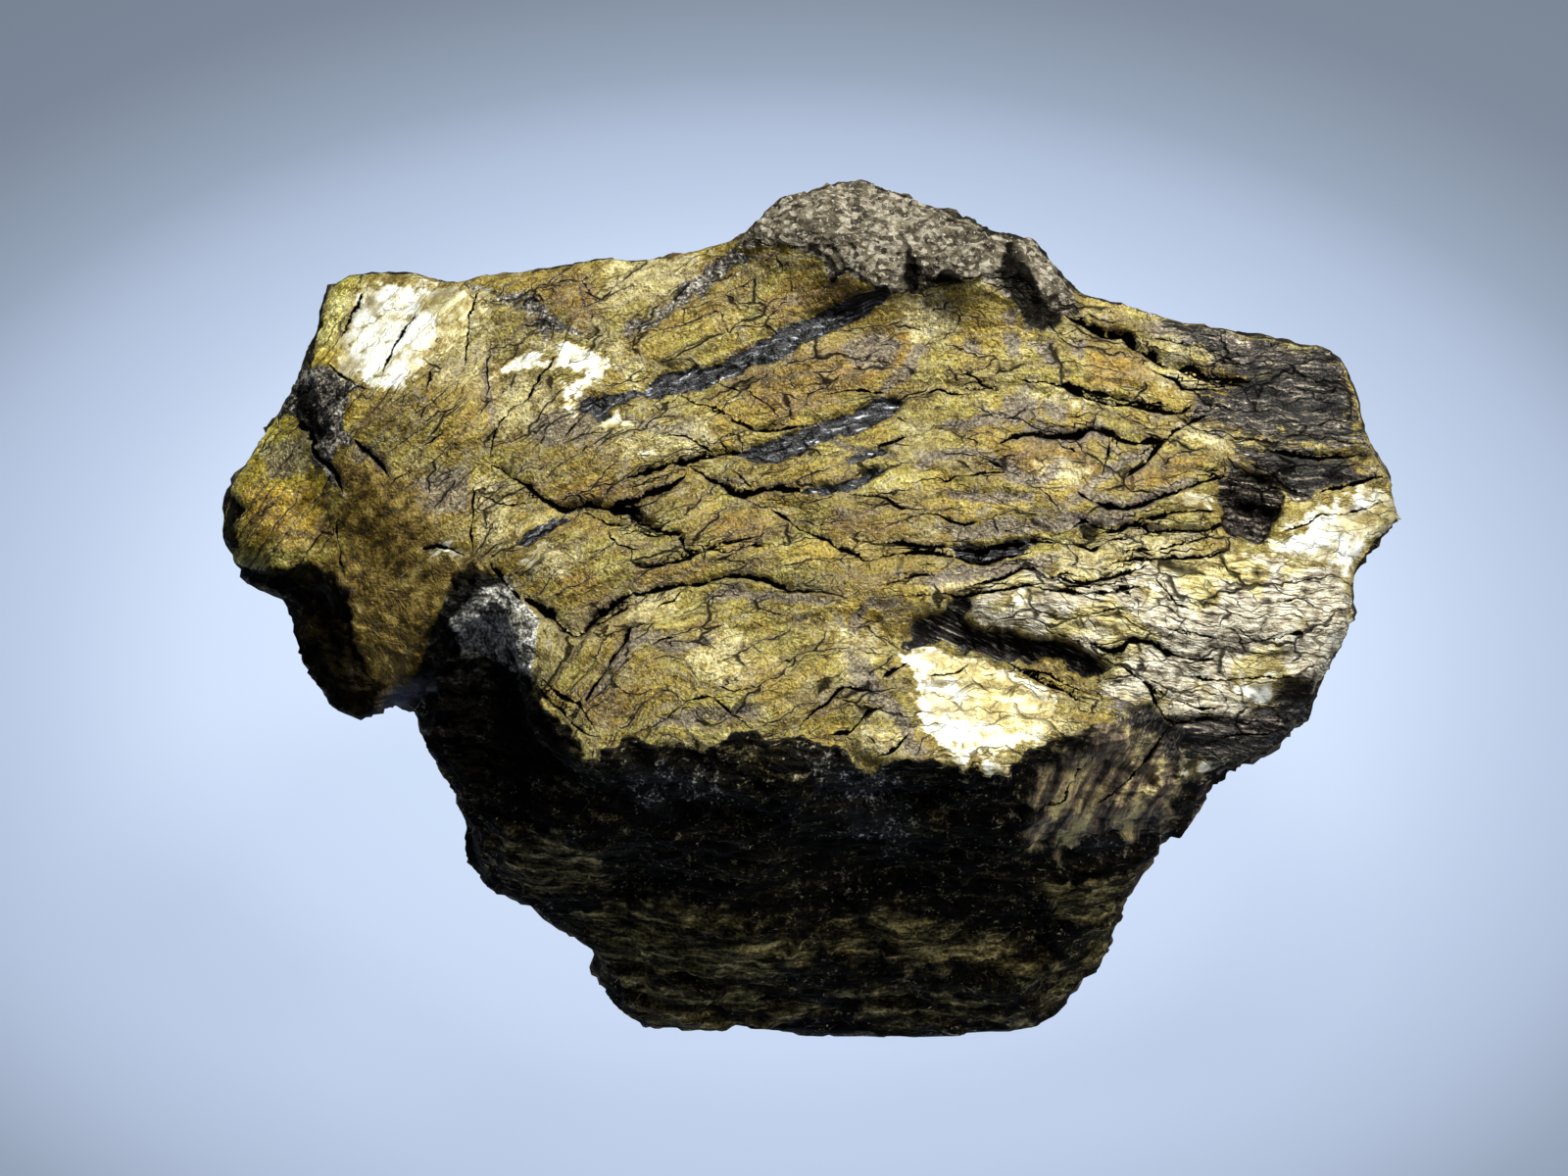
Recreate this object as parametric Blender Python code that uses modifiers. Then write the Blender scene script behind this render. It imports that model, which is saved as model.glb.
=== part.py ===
"""Bronzite hand specimen: one broken piece of foliated rock with a bronze cleavage sheet on top.

The stone stands on a small flat foot. A thick sheet of bronzite, cleaved along its foliation,
leans towards the viewer over a dark, rough wall of the same rock. A lump of granular matrix sits
on the back edge, a toothed lobe hangs out on the left and a layered shoulder on the right.

Corners that the front view shows are given as they are seen there, in millimetres: how far to the
right and up of the middle of the view, and how near to the viewer.
"""

import math

import bmesh
import bpy
import numpy as np
from mathutils import Vector, noise

MM = 0.001

# Driving sizes of the whole stone
WIDTH = 104.5
DEPTH = 61.5
HEIGHT = 56.0

# The front view: how steeply it looks down, from how far, and where its middle lies over the foot
LOOK_DOWN = math.radians(40)
VIEW_DISTANCE = 463.0
MIDDLE = Vector((-2.3, -1.0, 31.0))

# The foliation is parallel to the sheet, which faces this much above the viewer
SHEET_TILT = math.radians(27)
SHEET_LEVEL = 12.5

# Working sizes of the mesh
BLOCK_GROWTH = 0.9
VOXEL = 0.85
FACES_KEPT = 9700

TO_RIGHT = Vector((1, 0, 0))
TO_TOP = Vector((0, math.sin(LOOK_DOWN), math.cos(LOOK_DOWN)))
TO_VIEWER = Vector((0, -math.cos(LOOK_DOWN), math.sin(LOOK_DOWN)))
FOLIATION = (TO_TOP * math.sin(SHEET_TILT) + TO_VIEWER * math.cos(SHEET_TILT)).normalized()

# The outline of the stone in the front view, clockwise from the tip of the left lobe
OUTLINE = [
    (-50.1, 6.3), (-49.6, 8.2), (-48.7, 8.9), (-48.4, 10.1), (-47.3, 11.6), (-46.1, 13.9),
    (-44.8, 15.8), (-43.5, 18.0), (-43.1, 19.4), (-42.2, 20.3), (-41.9, 22.6), (-40.9, 25.8),
    (-40.5, 26.8), (-39.5, 27.5), (-37.8, 27.9), (-33.5, 28.1), (-31.6, 27.8), (-30.2, 27.4),
    (-29.4, 26.8), (-28.4, 26.6), (-27.7, 27.5), (-26.1, 27.9), (-22.6, 28.2), (-17.4, 29.0),
    (-12.2, 29.4), (-8.7, 30.2), (-4.3, 30.5), (-3.3, 32.2), (-1.7, 33.6), (-0.8, 35.1),
    (0.5, 35.5), (1.9, 35.3), (3.9, 36.2), (5.9, 36.6), (7.6, 36.2), (10.0, 35.1), (12.2, 34.4),
    (14.8, 33.5), (16.5, 32.9), (17.6, 31.6), (20.0, 31.4), (21.7, 31.3), (22.8, 30.4),
    (23.2, 28.9), (24.8, 27.5), (25.7, 26.1), (26.9, 25.5), (30.4, 25.1), (34.8, 24.2),
    (39.5, 22.9), (43.5, 22.1), (46.9, 21.6), (48.2, 20.9), (49.9, 20.8), (50.1, 18.9),
    (50.9, 16.5), (50.9, 14.2), (51.7, 12.5), (52.7, 10.9), (53.7, 9.7), (53.9, 8.0), (54.8, 6.8),
    (54.6, 5.4), (53.2, 4.3), (52.2, 3.3), (50.8, 2.0), (50.2, 0.2), (50.2, -2.2), (49.9, -4.3),
    (48.7, -6.3), (47.4, -8.3), (46.3, -10.6), (45.0, -12.7), (43.6, -12.3), (43.4, -13.6),
    (42.4, -14.5), (40.3, -15.1), (39.1, -16.3), (37.2, -17.6), (36.4, -19.3), (33.9, -21.7),
    (32.3, -24.3), (31.1, -26.5), (30.1, -28.7), (28.9, -29.7), (29.2, -32.3), (28.0, -34.3),
    (25.4, -35.6), (24.5, -37.0), (22.4, -38.7), (20.9, -39.3), (8.7, -39.6), (7.0, -40.2),
    (3.6, -40.2), (2.4, -39.6), (-1.7, -39.0), (-4.8, -38.6), (-8.7, -38.9), (-12.1, -39.1),
    (-13.9, -37.5), (-15.2, -35.6), (-16.3, -33.5), (-17.2, -31.7), (-18.2, -31.1),
    (-20.4, -30.0), (-21.9, -28.6), (-24.3, -27.6), (-25.9, -26.5), (-26.5, -24.8),
    (-28.1, -22.8), (-28.0, -20.9), (-28.2, -19.5), (-28.8, -19.3), (-29.0, -16.9),
    (-30.0, -16.2), (-30.2, -15.4), (-31.0, -15.3), (-31.3, -14.1), (-31.9, -13.5),
    (-32.2, -11.7), (-31.8, -9.6), (-33.2, -10.1), (-35.2, -11.0), (-37.9, -11.5),
    (-38.9, -11.0), (-40.3, -10.0), (-41.5, -8.3), (-42.1, -6.3), (-42.9, -4.2), (-42.8, -1.9),
    (-43.3, -1.0), (-46.1, -0.7), (-48.0, -0.6), (-48.6, 0.3), (-49.2, 2.4), (-49.6, 4.3),
]

# The main forms, each the hull of a few corners. The first list holds corners as the front view
# shows them; the second holds hidden ones, in millimetres from the middle of the foot.
FORMS = {
    "sheet": (
        [(-28.7, 26.0, -1.5), (-27.4, 27.8, -2.5), (-4.3, 30.7, -3.6), (17.4, 28.7, -2.2),
         (26.1, 25.8, -0.9), (39.5, 23.1, -1.0), (50.0, 20.9, -2.5), (51.1, 14.8, 0.5),
         (50.4, 0.0, 6.5), (46.9, -8.7, 10.0), (28.7, -12.2, 17.4), (18.2, -16.0, 20.2),
         (10.4, -17.0, 20.9), (-17.4, -15.2, 19.8), (-22.2, -8.7, 16.3), (-23.5, 0.9, 11.6)],
        [(-26, 27, 31), (0, 31, 30), (22, 30, 32), (40, 24, 33), (47, 17, 34),
         (-24, 0, 18), (40, -4, 22), (46, 0, 26)],
    ),
    "wall": (
        [(-32.0, -9.7, 6.0), (-31.3, -14.8, 5.0), (-28.7, -20.0, 3.5), (-22.0, -11.0, 13.0),
         (-17.4, -17.4, 15.5), (8.7, -18.4, 16.5), (19.0, -18.0, 16.0), (30.0, -18.0, 13.0),
         (-26.0, -26.5, 1.5), (-4.3, -27.0, 7.5), (8.7, -27.0, 8.0), (33.9, -21.7, 4.0),
         (37.2, -17.6, 6.5), (42.6, -14.6, 8.5), (30.5, -29.0, 0.5)],
        [(-31, 4, 24), (-20, 26, 26), (30, 27, 28), (41, 4, 26), (-19, 15, 8), (27, 16, 8)],
    ),
    "foot": (
        [(-17.2, -31.7, -0.5), (-12.1, -39.2, -2.0), (4.3, -40.3, -0.8), (21.3, -39.4, -1.8),
         (25.4, -35.6, -1.5), (29.2, -32.3, -1.0), (29.5, -29.0, 0.0), (-24.0, -27.5, 1.0),
         (-4.3, -30.5, 5.8), (10.0, -30.8, 6.4), (18.0, -31.0, 4.5)],
        [(-15, 14, -1), (22, 15, -1), (-22, 10, 12), (29, 12, 14), (4, 21, 9),
         (4.0, -24.5, -1), (-13.0, -23.5, -1), (19.5, -23.0, -1)],
    ),
    "bright corner": (
        [(-41.9, 22.2, -4.0), (-40.7, 26.9, -6.0), (-37.8, 28.1, -6.6), (-33.5, 28.3, -6.2),
         (-30.0, 27.5, -4.8), (-26.0, 26.0, -2.0), (-39.1, 17.4, 3.3), (-27.8, 17.4, 4.3),
         (-24.3, 0.0, 10.6), (-39.1, 3.5, 7.3), (-31.3, -3.5, 9.4)],
        [(-42, 14, 38), (-30, 24, 36), (-38, 5, 29), (-28, 6, 24), (-36, 18, 35)],
    ),
    "tooth": (
        [(-39.1, 5.0, 7.3), (-31.0, 2.0, 9.0), (-31.3, -3.5, 9.4), (-37.9, -11.7, 7.0),
         (-31.7, -9.6, 7.0), (-41.6, -8.3, 4.0), (-43.0, -4.2, 1.5), (-43.0, -1.0, 1.0),
         (-40.0, 2.0, 5.0)],
        [(-40, 0, 31), (-34, 1, 26), (-32, -6, 27), (-30, 6, 30)],
    ),
    "gap rock": (
        [(-32.0, -2.0, 6.0), (-24.0, 2.0, 9.0), (-21.0, -3.0, 11.0), (-20.0, -10.0, 12.5),
         (-26.0, -12.0, 9.5), (-31.5, -11.0, 6.0)],
        [(-29, -2, 22), (-20, -4, 20), (-26, 6, 30)],
    ),
    "left lobe": (
        [(-50.3, 6.3, 0.0), (-48.6, 10.3, -1.0), (-45.0, 16.0, -2.0), (-43.3, 19.6, -3.0),
         (-40.0, 13.9, 2.6), (-39.3, 3.5, 5.2), (-43.5, -1.0, 3.8), (-48.1, -0.8, 1.0),
         (-49.8, 3.9, 0.0), (-45.5, 7.0, 3.6)],
        [(-46, 4, 35), (-42, 11, 38), (-40, 3, 29)],
    ),
    "matrix lump": (
        [(-4.5, 30.7, -3.0), (-3.3, 32.5, -6.5), (-0.8, 35.5, -8.5), (5.9, 37.0, -8.5),
         (12.2, 34.9, -7.5), (16.5, 33.0, -7.0), (17.5, 30.0, -1.0), (8.7, 26.5, 1.2),
         (6.1, 26.3, 1.8), (10.0, 29.5, 1.5), (2.0, 32.0, -1.5)],
        [(-7, 29, 31), (19, 27, 31), (7, 30, 43)],
    ),
    "matrix knob": (
        [(15.0, 31.5, -5.0), (21.8, 31.6, -6.0), (23.4, 29.2, -4.5), (26.3, 25.9, -2.5),
         (22.8, 23.6, 1.4), (17.0, 28.0, 1.5), (13.0, 27.5, 1.5)],
        [(16, 27, 36), (25, 25, 37)],
    ),
    "right shoulder": (
        [(50.2, 0.2, 6.0), (50.4, -2.2, 6.8), (48.9, -6.3, 8.3), (46.4, -10.6, 9.8),
         (45.2, -12.9, 10.2), (42.6, -14.8, 10.4), (37.2, -17.8, 10.6), (32.0, -17.0, 13.2),
         (27.8, -12.2, 16.4), (26.1, -4.3, 14.6), (40.0, 2.0, 10.0)],
        [(46, -2, 26), (42, -8, 19), (36, -6, 14)],
    ),
    "right spur": (
        [(38.2, 13.9, 5.0), (51.0, 16.5, 0.0), (51.9, 12.5, 0.8), (53.9, 9.6, 1.4),
         (55.0, 6.8, 1.8), (54.8, 5.2, 2.0), (52.1, 3.1, 3.4), (50.4, 0.7, 5.0),
         (43.5, 3.5, 8.2), (44.3, 7.8, 6.0)],
        [(49, 8, 35), (47, 15, 36), (43, 4, 29)],
    ),
}


def seen(right, up, near):
    """The place that the front view shows this far to the right and up, and this near."""
    shrink = (VIEW_DISTANCE - near) / VIEW_DISTANCE
    return MIDDLE + (TO_RIGHT * right + TO_TOP * up) * shrink + TO_VIEWER * near


def as_seen(points):
    """The reverse of seen(), for an array of places: right, up and near for each."""
    from_middle = points - np.array(MIDDLE)
    near = from_middle @ np.array(TO_VIEWER)
    spread = VIEW_DISTANCE / (VIEW_DISTANCE - near)
    right = from_middle @ np.array(TO_RIGHT) * spread
    up = from_middle @ np.array(TO_TOP) * spread
    return right, up, near


def mesh_object(name, shape):
    """A new object that holds a bmesh, which is freed."""
    mesh = bpy.data.meshes.new(name)
    shape.to_mesh(mesh)
    shape.free()
    made = bpy.data.objects.new(name, mesh)
    bpy.context.scene.collection.objects.link(made)
    return made


def apply_modifiers(made):
    """Gives an object the mesh that its modifiers make, and removes them."""
    graph = bpy.context.evaluated_depsgraph_get()
    mesh = bpy.data.meshes.new_from_object(made.evaluated_get(graph))
    made.modifiers.clear()
    made.data = mesh


def even_out(made, size):
    """Joins overlapping solids in one closed skin of even faces."""
    remesh = made.modifiers.new("even skin", "REMESH")
    remesh.mode = "VOXEL"
    remesh.voxel_size = size
    apply_modifiers(made)


def hull_of(corners):
    """A mesh of the smallest convex solid around some corners."""
    hull = bmesh.new()
    for corner in corners:
        hull.verts.new(corner)
    found = bmesh.ops.convex_hull(hull, input=hull.verts)
    inner = {part for part in found["geom_interior"] if isinstance(part, bmesh.types.BMVert)}
    bmesh.ops.delete(hull, geom=list(inner), context="VERTS")
    bmesh.ops.recalc_face_normals(hull, faces=hull.faces)
    mesh = bpy.data.meshes.new("form")
    hull.to_mesh(mesh)
    hull.free()
    return mesh


def main_forms():
    """The main forms, grown together in one skin."""
    together = bmesh.new()
    for in_view, hidden in FORMS.values():
        corners = [seen(*corner) for corner in in_view] + [Vector(corner) for corner in hidden]
        together.from_mesh(hull_of(corners))
    stone = mesh_object("bronzite", together)
    even_out(stone, VOXEL)
    return stone


def distance_to_path(right, up, path):
    """How far points of the front view lie from a path, and how far above (+) or below (-) it."""
    nearest = np.full(right.shape, np.inf)
    side = np.ones(right.shape)
    for (ax, ay), (bx, by) in zip(path, path[1:]):
        along = np.array((bx - ax, by - ay))
        share = ((right - ax) * along[0] + (up - ay) * along[1]) / (along @ along)
        share = np.clip(share, 0, 1)
        away_right = right - ax - share * along[0]
        away_up = up - ay - share * along[1]
        away = np.hypot(away_right, away_up)
        closer = away < nearest
        above = np.sign(along[0] * away_up - along[1] * away_right) * np.sign(along[0] or 1)
        side = np.where(closer, above, side)
        nearest = np.where(closer, away, nearest)
    return nearest, nearest * side


def inside(right, up, outline):
    """Which points of the front view lie in an outline."""
    within = np.zeros(right.shape, bool)
    for (ax, ay), (bx, by) in zip(outline, outline[1:] + outline[:1]):
        if ay == by:
            continue
        crossing = ax + (up - ay) * (bx - ax) / (by - ay)
        within ^= ((ay > up) != (by > up)) & (right < crossing)
    return within


# The edge of the cleaved sheet in the front view
SHEET_OUTLINE = [
    (-42.0, 22.0), (-40.5, 27.5), (-28.0, 28.0), (-4.0, 31.0), (6.1, 26.5), (13.0, 27.5),
    (20.0, 26.5), (23.5, 23.5), (27.0, 26.0), (40.0, 23.5), (38.5, 16.0), (43.0, 14.0),
    (51.0, 10.0), (56.0, 7.0), (50.5, 0.0), (50.0, -5.0), (44.0, -11.0), (36.0, -11.5),
    (29.0, -9.5), (27.0, -13.5), (18.2, -16.5), (10.4, -17.5), (6.0, -14.5), (-4.0, -13.5),
    (-19.0, -15.5), (-22.5, -9.5), (-22.0, -3.0), (-25.0, 1.0), (-31.0, 1.0), (-36.0, 3.0),
    (-36.0, 14.0),
]

# The broken front edge of the sheet, which overhangs the wall
SHEET_RIM = [
    (-22.2, -7.0), (-20.9, -12.2), (-17.4, -14.9), (-13.9, -14.3), (-8.7, -14.3), (-3.5, -13.0),
    (2.6, -13.5), (7.0, -14.8), (10.4, -17.1), (13.9, -15.6), (18.2, -16.1), (21.7, -14.3),
    (28.7, -12.2),
]
RIM_OVERHANG = 2.2

# Splits and laminae edges of the sheet: path, half width and depth, and how far its upper side
# stands over its lower side
SPLITS = {
    "long band": ([(-17.4, 16.3), (-8.7, 18.7), (-0.9, 22.6), (9.1, 26.1)], 1.2, 1.3, 0.3),
    "second band": ([(-13.9, 8.7), (-7.0, 11.3), (2.6, 13.5), (9.6, 16.5)], 1.2, 1.0, 0.4),
    "back band": ([(-15.6, 23.0), (-9.6, 26.1), (-5.2, 29.5)], 1.3, 1.0, 0.2),
    "centre split": ([(-26.5, 10.4), (-23.5, 7.4), (-17.4, 7.0), (-9.6, 3.9)], 1.0, 1.2, 0.5),
    "front split": ([(-22.6, 0.0), (-19.6, -3.0), (-15.2, -1.3), (-1.7, 0.9)], 1.0, 1.2, 0.6),
    "wavy split": ([(0.0, 7.0), (6.1, 3.5), (11.3, 2.6), (27.0, 5.2), (38.2, 6.1)], 1.1, 1.0, 0.8),
    "pocket roof": ([(7.4, -3.0), (13.9, -3.5), (20.0, -4.8), (28.7, -8.7)], 1.5, 2.4, 1.6),
    "back ledge": ([(23.5, 23.5), (30.4, 22.2), (37.4, 19.6), (41.0, 18.5)], 1.2, 1.1, 0.7),
    "middle ledge": ([(19.0, 17.0), (26.1, 17.4), (31.3, 15.6), (38.2, 16.0)], 1.0, 0.8, 0.5),
    "low ledge": ([(29.5, -4.3), (33.9, -6.1), (41.7, -5.6), (49.0, -5.4)], 1.1, 1.1, 0.9),
    "shoulder ledge": ([(33.0, -9.5), (38.2, -11.4), (44.5, -10.7)], 1.1, 1.1, 0.9),
    "lobe step": ([(-43.2, 20.0), (-40.2, 16.0), (-39.4, 9.0), (-39.3, 3.0)], 1.3, 1.4, 0.0),
    "notch": ([(-31.5, -6.0), (-28.0, -0.5), (-24.0, 1.0)], 1.2, 1.2, 0.0),
}

# Hollows in the front view: middle, half width and height, and depth
HOLLOWS = {
    "pocket floor": ((17.5, -10.5), (10.0, 5.0), 1.6),
    "side cavity": ((40.8, 7.4), (3.0, 4.2), 2.6),
    "wall hollow": ((-2.0, -24.0), (24.0, 4.5), 2.2),
    "low hollow": ((14.0, -36.0), (9.0, 2.5), 1.0),
}

# How strongly the sheet, the broken faces and the hidden back are uneven, and how near the
# ground the unevenness begins
SHEET_WAVES = 0.5
LEDGE_REACH = 3.5
FRACTURE_DEPTH = 0.8
BACK_DEPTH = 2.6
BLOCK_DEPTH = 2.6
CHIP_DEPTH = 1.1
LAYER_THICKNESS = 2.6
LAYER_DEPTH = 1.5
CUT_ROUGHNESS = 1.2
FLOOR_CALM = 3.0


def sheet_relief(right, up):
    """How far the sheet's surface lies over or under its general level."""
    relief = SHEET_WAVES * np.sin(0.21 * right + 0.34 * up) * np.sin(0.13 * right - 0.28 * up + 1.0)
    for path, half_width, depth, rise in SPLITS.values():
        away, above = distance_to_path(right, up, path)
        relief -= depth * np.exp(-((away / half_width) ** 2))
        relief += 0.5 * rise * np.tanh(above / 0.4) * np.exp(-away / LEDGE_REACH)
    return relief


def hollow_depth(right, up):
    """How deep the hollows are, seen from the front."""
    depth = np.zeros(right.shape)
    for (middle_right, middle_up), (half_width, half_height), deep in HOLLOWS.values():
        reach = np.hypot((right - middle_right) / half_width, (up - middle_up) / half_height)
        depth += deep * np.clip(1.3 - 1.3 * reach**2, 0, 1)
    return depth


def layer_push(heights):
    """How far each layer of the foliation stands out where it is broken across."""
    random = np.random.default_rng(11)
    stand = random.uniform(0, 1, 80)
    place = heights / LAYER_THICKNESS + 30
    layer = np.clip(np.floor(place).astype(int), 0, 78)
    share = np.clip((place - layer - 0.7) / 0.3, 0, 1)
    return stand[layer] * (1 - share) + stand[layer + 1] * share


def fracture(points, grain, seed):
    """Uneven broken rock, from -1 to 1, with lumps of about this size."""
    shift = Vector((seed, 2 * seed, 3 * seed))
    return np.array([noise.fractal(Vector(p) / grain + shift, 0.9, 2.1, 4) for p in points])


def blocks(points, size, seed):
    """Broken blocks, flatter along the foliation: how far each one's facet stands out."""
    up_slope = FOLIATION.cross(TO_RIGHT)
    local = points @ np.array((TO_RIGHT, up_slope, FOLIATION * 2.2)).T / size + seed
    stand = np.empty(len(points))
    for number, place in enumerate(local):
        place = Vector(place)
        middle = noise.voronoi(place)[1][0]
        lean = noise.cell_vector(middle * 37) - Vector((0.5, 0.5, 0.5))
        stand[number] = lean.x + 1.3 * (place - middle).dot(lean)
    return stand


def read_skin(stone):
    """The places and the outward directions of an object's vertices, as two arrays."""
    count = len(stone.data.vertices)
    points = np.empty(count * 3)
    stone.data.vertices.foreach_get("co", points)
    normals = np.empty(count * 3)
    stone.data.vertices.foreach_get("normal", normals)
    return points.reshape(-1, 3), normals.reshape(-1, 3)


def move_skin(stone, points):
    """Puts an object's vertices at new places."""
    stone.data.vertices.foreach_set("co", points.ravel())
    stone.data.update()
    even_out(stone, VOXEL)


def weather(stone):
    """Gives the plain forms their splits, ledges, hollows and broken faces."""
    points, normals = read_skin(stone)
    right, up, near = as_seen(points)
    facing = normals @ np.array(TO_VIEWER)
    along_foliation = normals @ np.array(FOLIATION)
    on_sheet = inside(right, up, SHEET_OUTLINE) & (along_foliation > 0.6)
    in_front = np.clip((facing - 0.1) / 0.3, 0, 1)
    in_view = np.clip(0.5 + 2 * facing, 0, 1)
    lumps = fracture(points, 16.0, 1.7)
    bits = fracture(points, 4.5, 4.1)
    big_blocks = blocks(points, 15.0, 3.3)
    chips = blocks(points, 6.0, 8.2)
    heights = points @ np.array(FOLIATION) + 1.5 * lumps
    across = np.clip(1.4 - 1.8 * np.abs(along_foliation), 0, 1)
    broken = FRACTURE_DEPTH * (0.5 + 0.4 * bits)
    broken += (FRACTURE_DEPTH * in_view + BACK_DEPTH * (1 - in_view)) * lumps
    broken += BLOCK_DEPTH * (1 - 0.5 * in_view) * big_blocks + CHIP_DEPTH * chips
    broken += LAYER_DEPTH * across * (layer_push(heights) - 0.4)
    push = np.where(on_sheet, 0.12 * bits + 0.25 * chips, broken) + BLOCK_GROWTH
    push *= np.clip((points[:, 2] + 1) / FLOOR_CALM, 0, 1)
    relief = np.where(on_sheet, sheet_relief(right, up), 0.0) - in_front * hollow_depth(right, up)
    below_rim = -distance_to_path(right, up, SHEET_RIM)[1]
    under_rim = np.clip(below_rim / 0.8, 0, 1) * np.clip(1.4 - below_rim / 5, 0, 1)
    undercut = RIM_OVERHANG * under_rim * in_front
    points += normals * push[:, None] + np.array(FOLIATION) * relief[:, None]
    points -= np.array(TO_VIEWER) * undercut[:, None]
    move_skin(stone, points)


def outline_cutter():
    """A solid that the front view shows as the outline, and nothing else."""
    depths = (45.0, -60.0)
    cutter = bmesh.new()
    near, far = ([cutter.verts.new(seen(*place, depth)) for place in OUTLINE] for depth in depths)
    cutter.faces.new(near)
    cutter.faces.new(far)
    for number in range(len(OUTLINE)):
        cutter.faces.new((near[number], near[number - 1], far[number - 1], far[number]))
    bmesh.ops.recalc_face_normals(cutter, faces=cutter.faces)
    made = mesh_object("outline cutter", cutter)
    made.hide_render = True
    made.display_type = "WIRE"
    return made


def roughen_cut(stone):
    """Breaks up the even faces that the outline leaves, inwards only."""
    points, normals = read_skin(stone)
    facing = normals @ np.array(TO_VIEWER)
    beside = np.clip((0.45 - np.abs(facing + 0.1)) / 0.15, 0, 1)
    depth = 0.5 + 0.7 * blocks(points, 9.0, 5.6) + 0.5 * fracture(points, 5.0, 2.4)
    depth *= CUT_ROUGHNESS * beside * np.clip(points[:, 2] / FLOOR_CALM, 0, 1)
    move_skin(stone, points - normals * np.clip(depth, 0, None)[:, None])


def trim(stone):
    """Cuts off what stands outside the outline, and thins out the faces."""
    cutter = outline_cutter()
    cut = stone.modifiers.new("outline", "BOOLEAN")
    cut.operation = "INTERSECT"
    cut.object = cutter
    apply_modifiers(stone)
    bpy.data.objects.remove(cutter)
    even_out(stone, VOXEL)
    roughen_cut(stone)
    thin = stone.modifiers.new("fewer faces", "DECIMATE")
    thin.ratio = FACES_KEPT / (2 * len(stone.data.polygons))
    apply_modifiers(stone)


def fit_and_stand(stone):
    """Brings the stone to its measured size, and cuts its foot flat at the ground."""
    points = np.array([vertex.co for vertex in stone.data.vertices])
    low = points.min(axis=0)
    high = points.max(axis=0)
    wanted = np.array((WIDTH, DEPTH, HEIGHT))
    low[2] = 0
    middle = (low + high) / 2
    middle[2] = 0
    points = (points - middle) * wanted / (high - low)
    shape = bmesh.new()
    shape.from_mesh(stone.data)
    for vertex, point in zip(shape.verts, points):
        vertex.co = point * MM
    everything = shape.verts[:] + shape.edges[:] + shape.faces[:]
    ground = bmesh.ops.bisect_plane(
        shape, geom=everything, plane_co=(0, 0, 0), plane_no=(0, 0, 1), clear_inner=True
    )
    rim = [part for part in ground["geom_cut"] if isinstance(part, bmesh.types.BMEdge)]
    bmesh.ops.holes_fill(shape, edges=rim)
    bmesh.ops.triangulate(shape, faces=shape.faces)
    shape.to_mesh(stone.data)
    shape.free()


def rock_material():
    """Olive bronze, a little metallic, as the cleaved sheet is."""
    made = bpy.data.materials.new("bronzite")
    made.use_nodes = True
    surface = made.node_tree.nodes["Principled BSDF"]
    surface.inputs["Base Color"].default_value = (0.23, 0.16, 0.05, 1)
    surface.inputs["Metallic"].default_value = 0.25
    surface.inputs["Roughness"].default_value = 0.5
    return made


def build():
    """The whole specimen: one stone, in one piece."""
    for old in list(bpy.data.objects):
        bpy.data.objects.remove(old)
    stone = main_forms()
    weather(stone)
    trim(stone)
    fit_and_stand(stone)
    stone.data.materials.clear()
    stone.data.materials.append(rock_material())
    specimen = bpy.data.collections.new("bronzite")
    bpy.context.scene.collection.children.link(specimen)
    bpy.context.scene.collection.objects.unlink(stone)
    specimen.objects.link(stone)


build()
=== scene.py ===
"""Looks of the bronzite hand specimen: one stone, on a pale floor in soft light.

The front view is the one that the camera has. Places on the stone's front are given as it shows
them, in millimetres to the right of and above the middle of the view.
"""

import math

import bmesh
import bpy
import numpy as np
from mathutils import Matrix, Vector, bvhtree, noise


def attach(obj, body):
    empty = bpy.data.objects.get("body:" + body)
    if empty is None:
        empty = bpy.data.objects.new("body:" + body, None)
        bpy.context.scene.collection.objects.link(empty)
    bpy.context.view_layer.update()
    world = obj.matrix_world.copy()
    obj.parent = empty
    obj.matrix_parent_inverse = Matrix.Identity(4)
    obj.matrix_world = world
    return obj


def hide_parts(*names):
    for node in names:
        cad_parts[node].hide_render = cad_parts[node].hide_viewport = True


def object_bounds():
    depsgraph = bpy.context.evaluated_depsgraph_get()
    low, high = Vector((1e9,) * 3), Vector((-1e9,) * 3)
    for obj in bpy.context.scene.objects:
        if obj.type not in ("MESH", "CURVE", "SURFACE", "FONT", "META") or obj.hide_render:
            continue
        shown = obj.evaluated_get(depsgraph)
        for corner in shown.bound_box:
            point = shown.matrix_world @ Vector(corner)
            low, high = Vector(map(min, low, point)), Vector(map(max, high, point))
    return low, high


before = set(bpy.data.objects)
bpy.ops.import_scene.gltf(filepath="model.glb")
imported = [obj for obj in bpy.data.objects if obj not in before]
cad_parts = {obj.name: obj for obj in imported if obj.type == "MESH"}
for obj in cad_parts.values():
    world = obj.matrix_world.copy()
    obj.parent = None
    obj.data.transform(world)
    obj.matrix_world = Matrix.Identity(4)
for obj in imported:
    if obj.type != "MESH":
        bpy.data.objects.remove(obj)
cad_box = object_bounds()

# The stone's body
# One broken piece of foliated rock. Its skin starts from the solid, and gets finer faces, most of
# all on the side that the camera sees, to take the cracks and the laminae.

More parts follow.
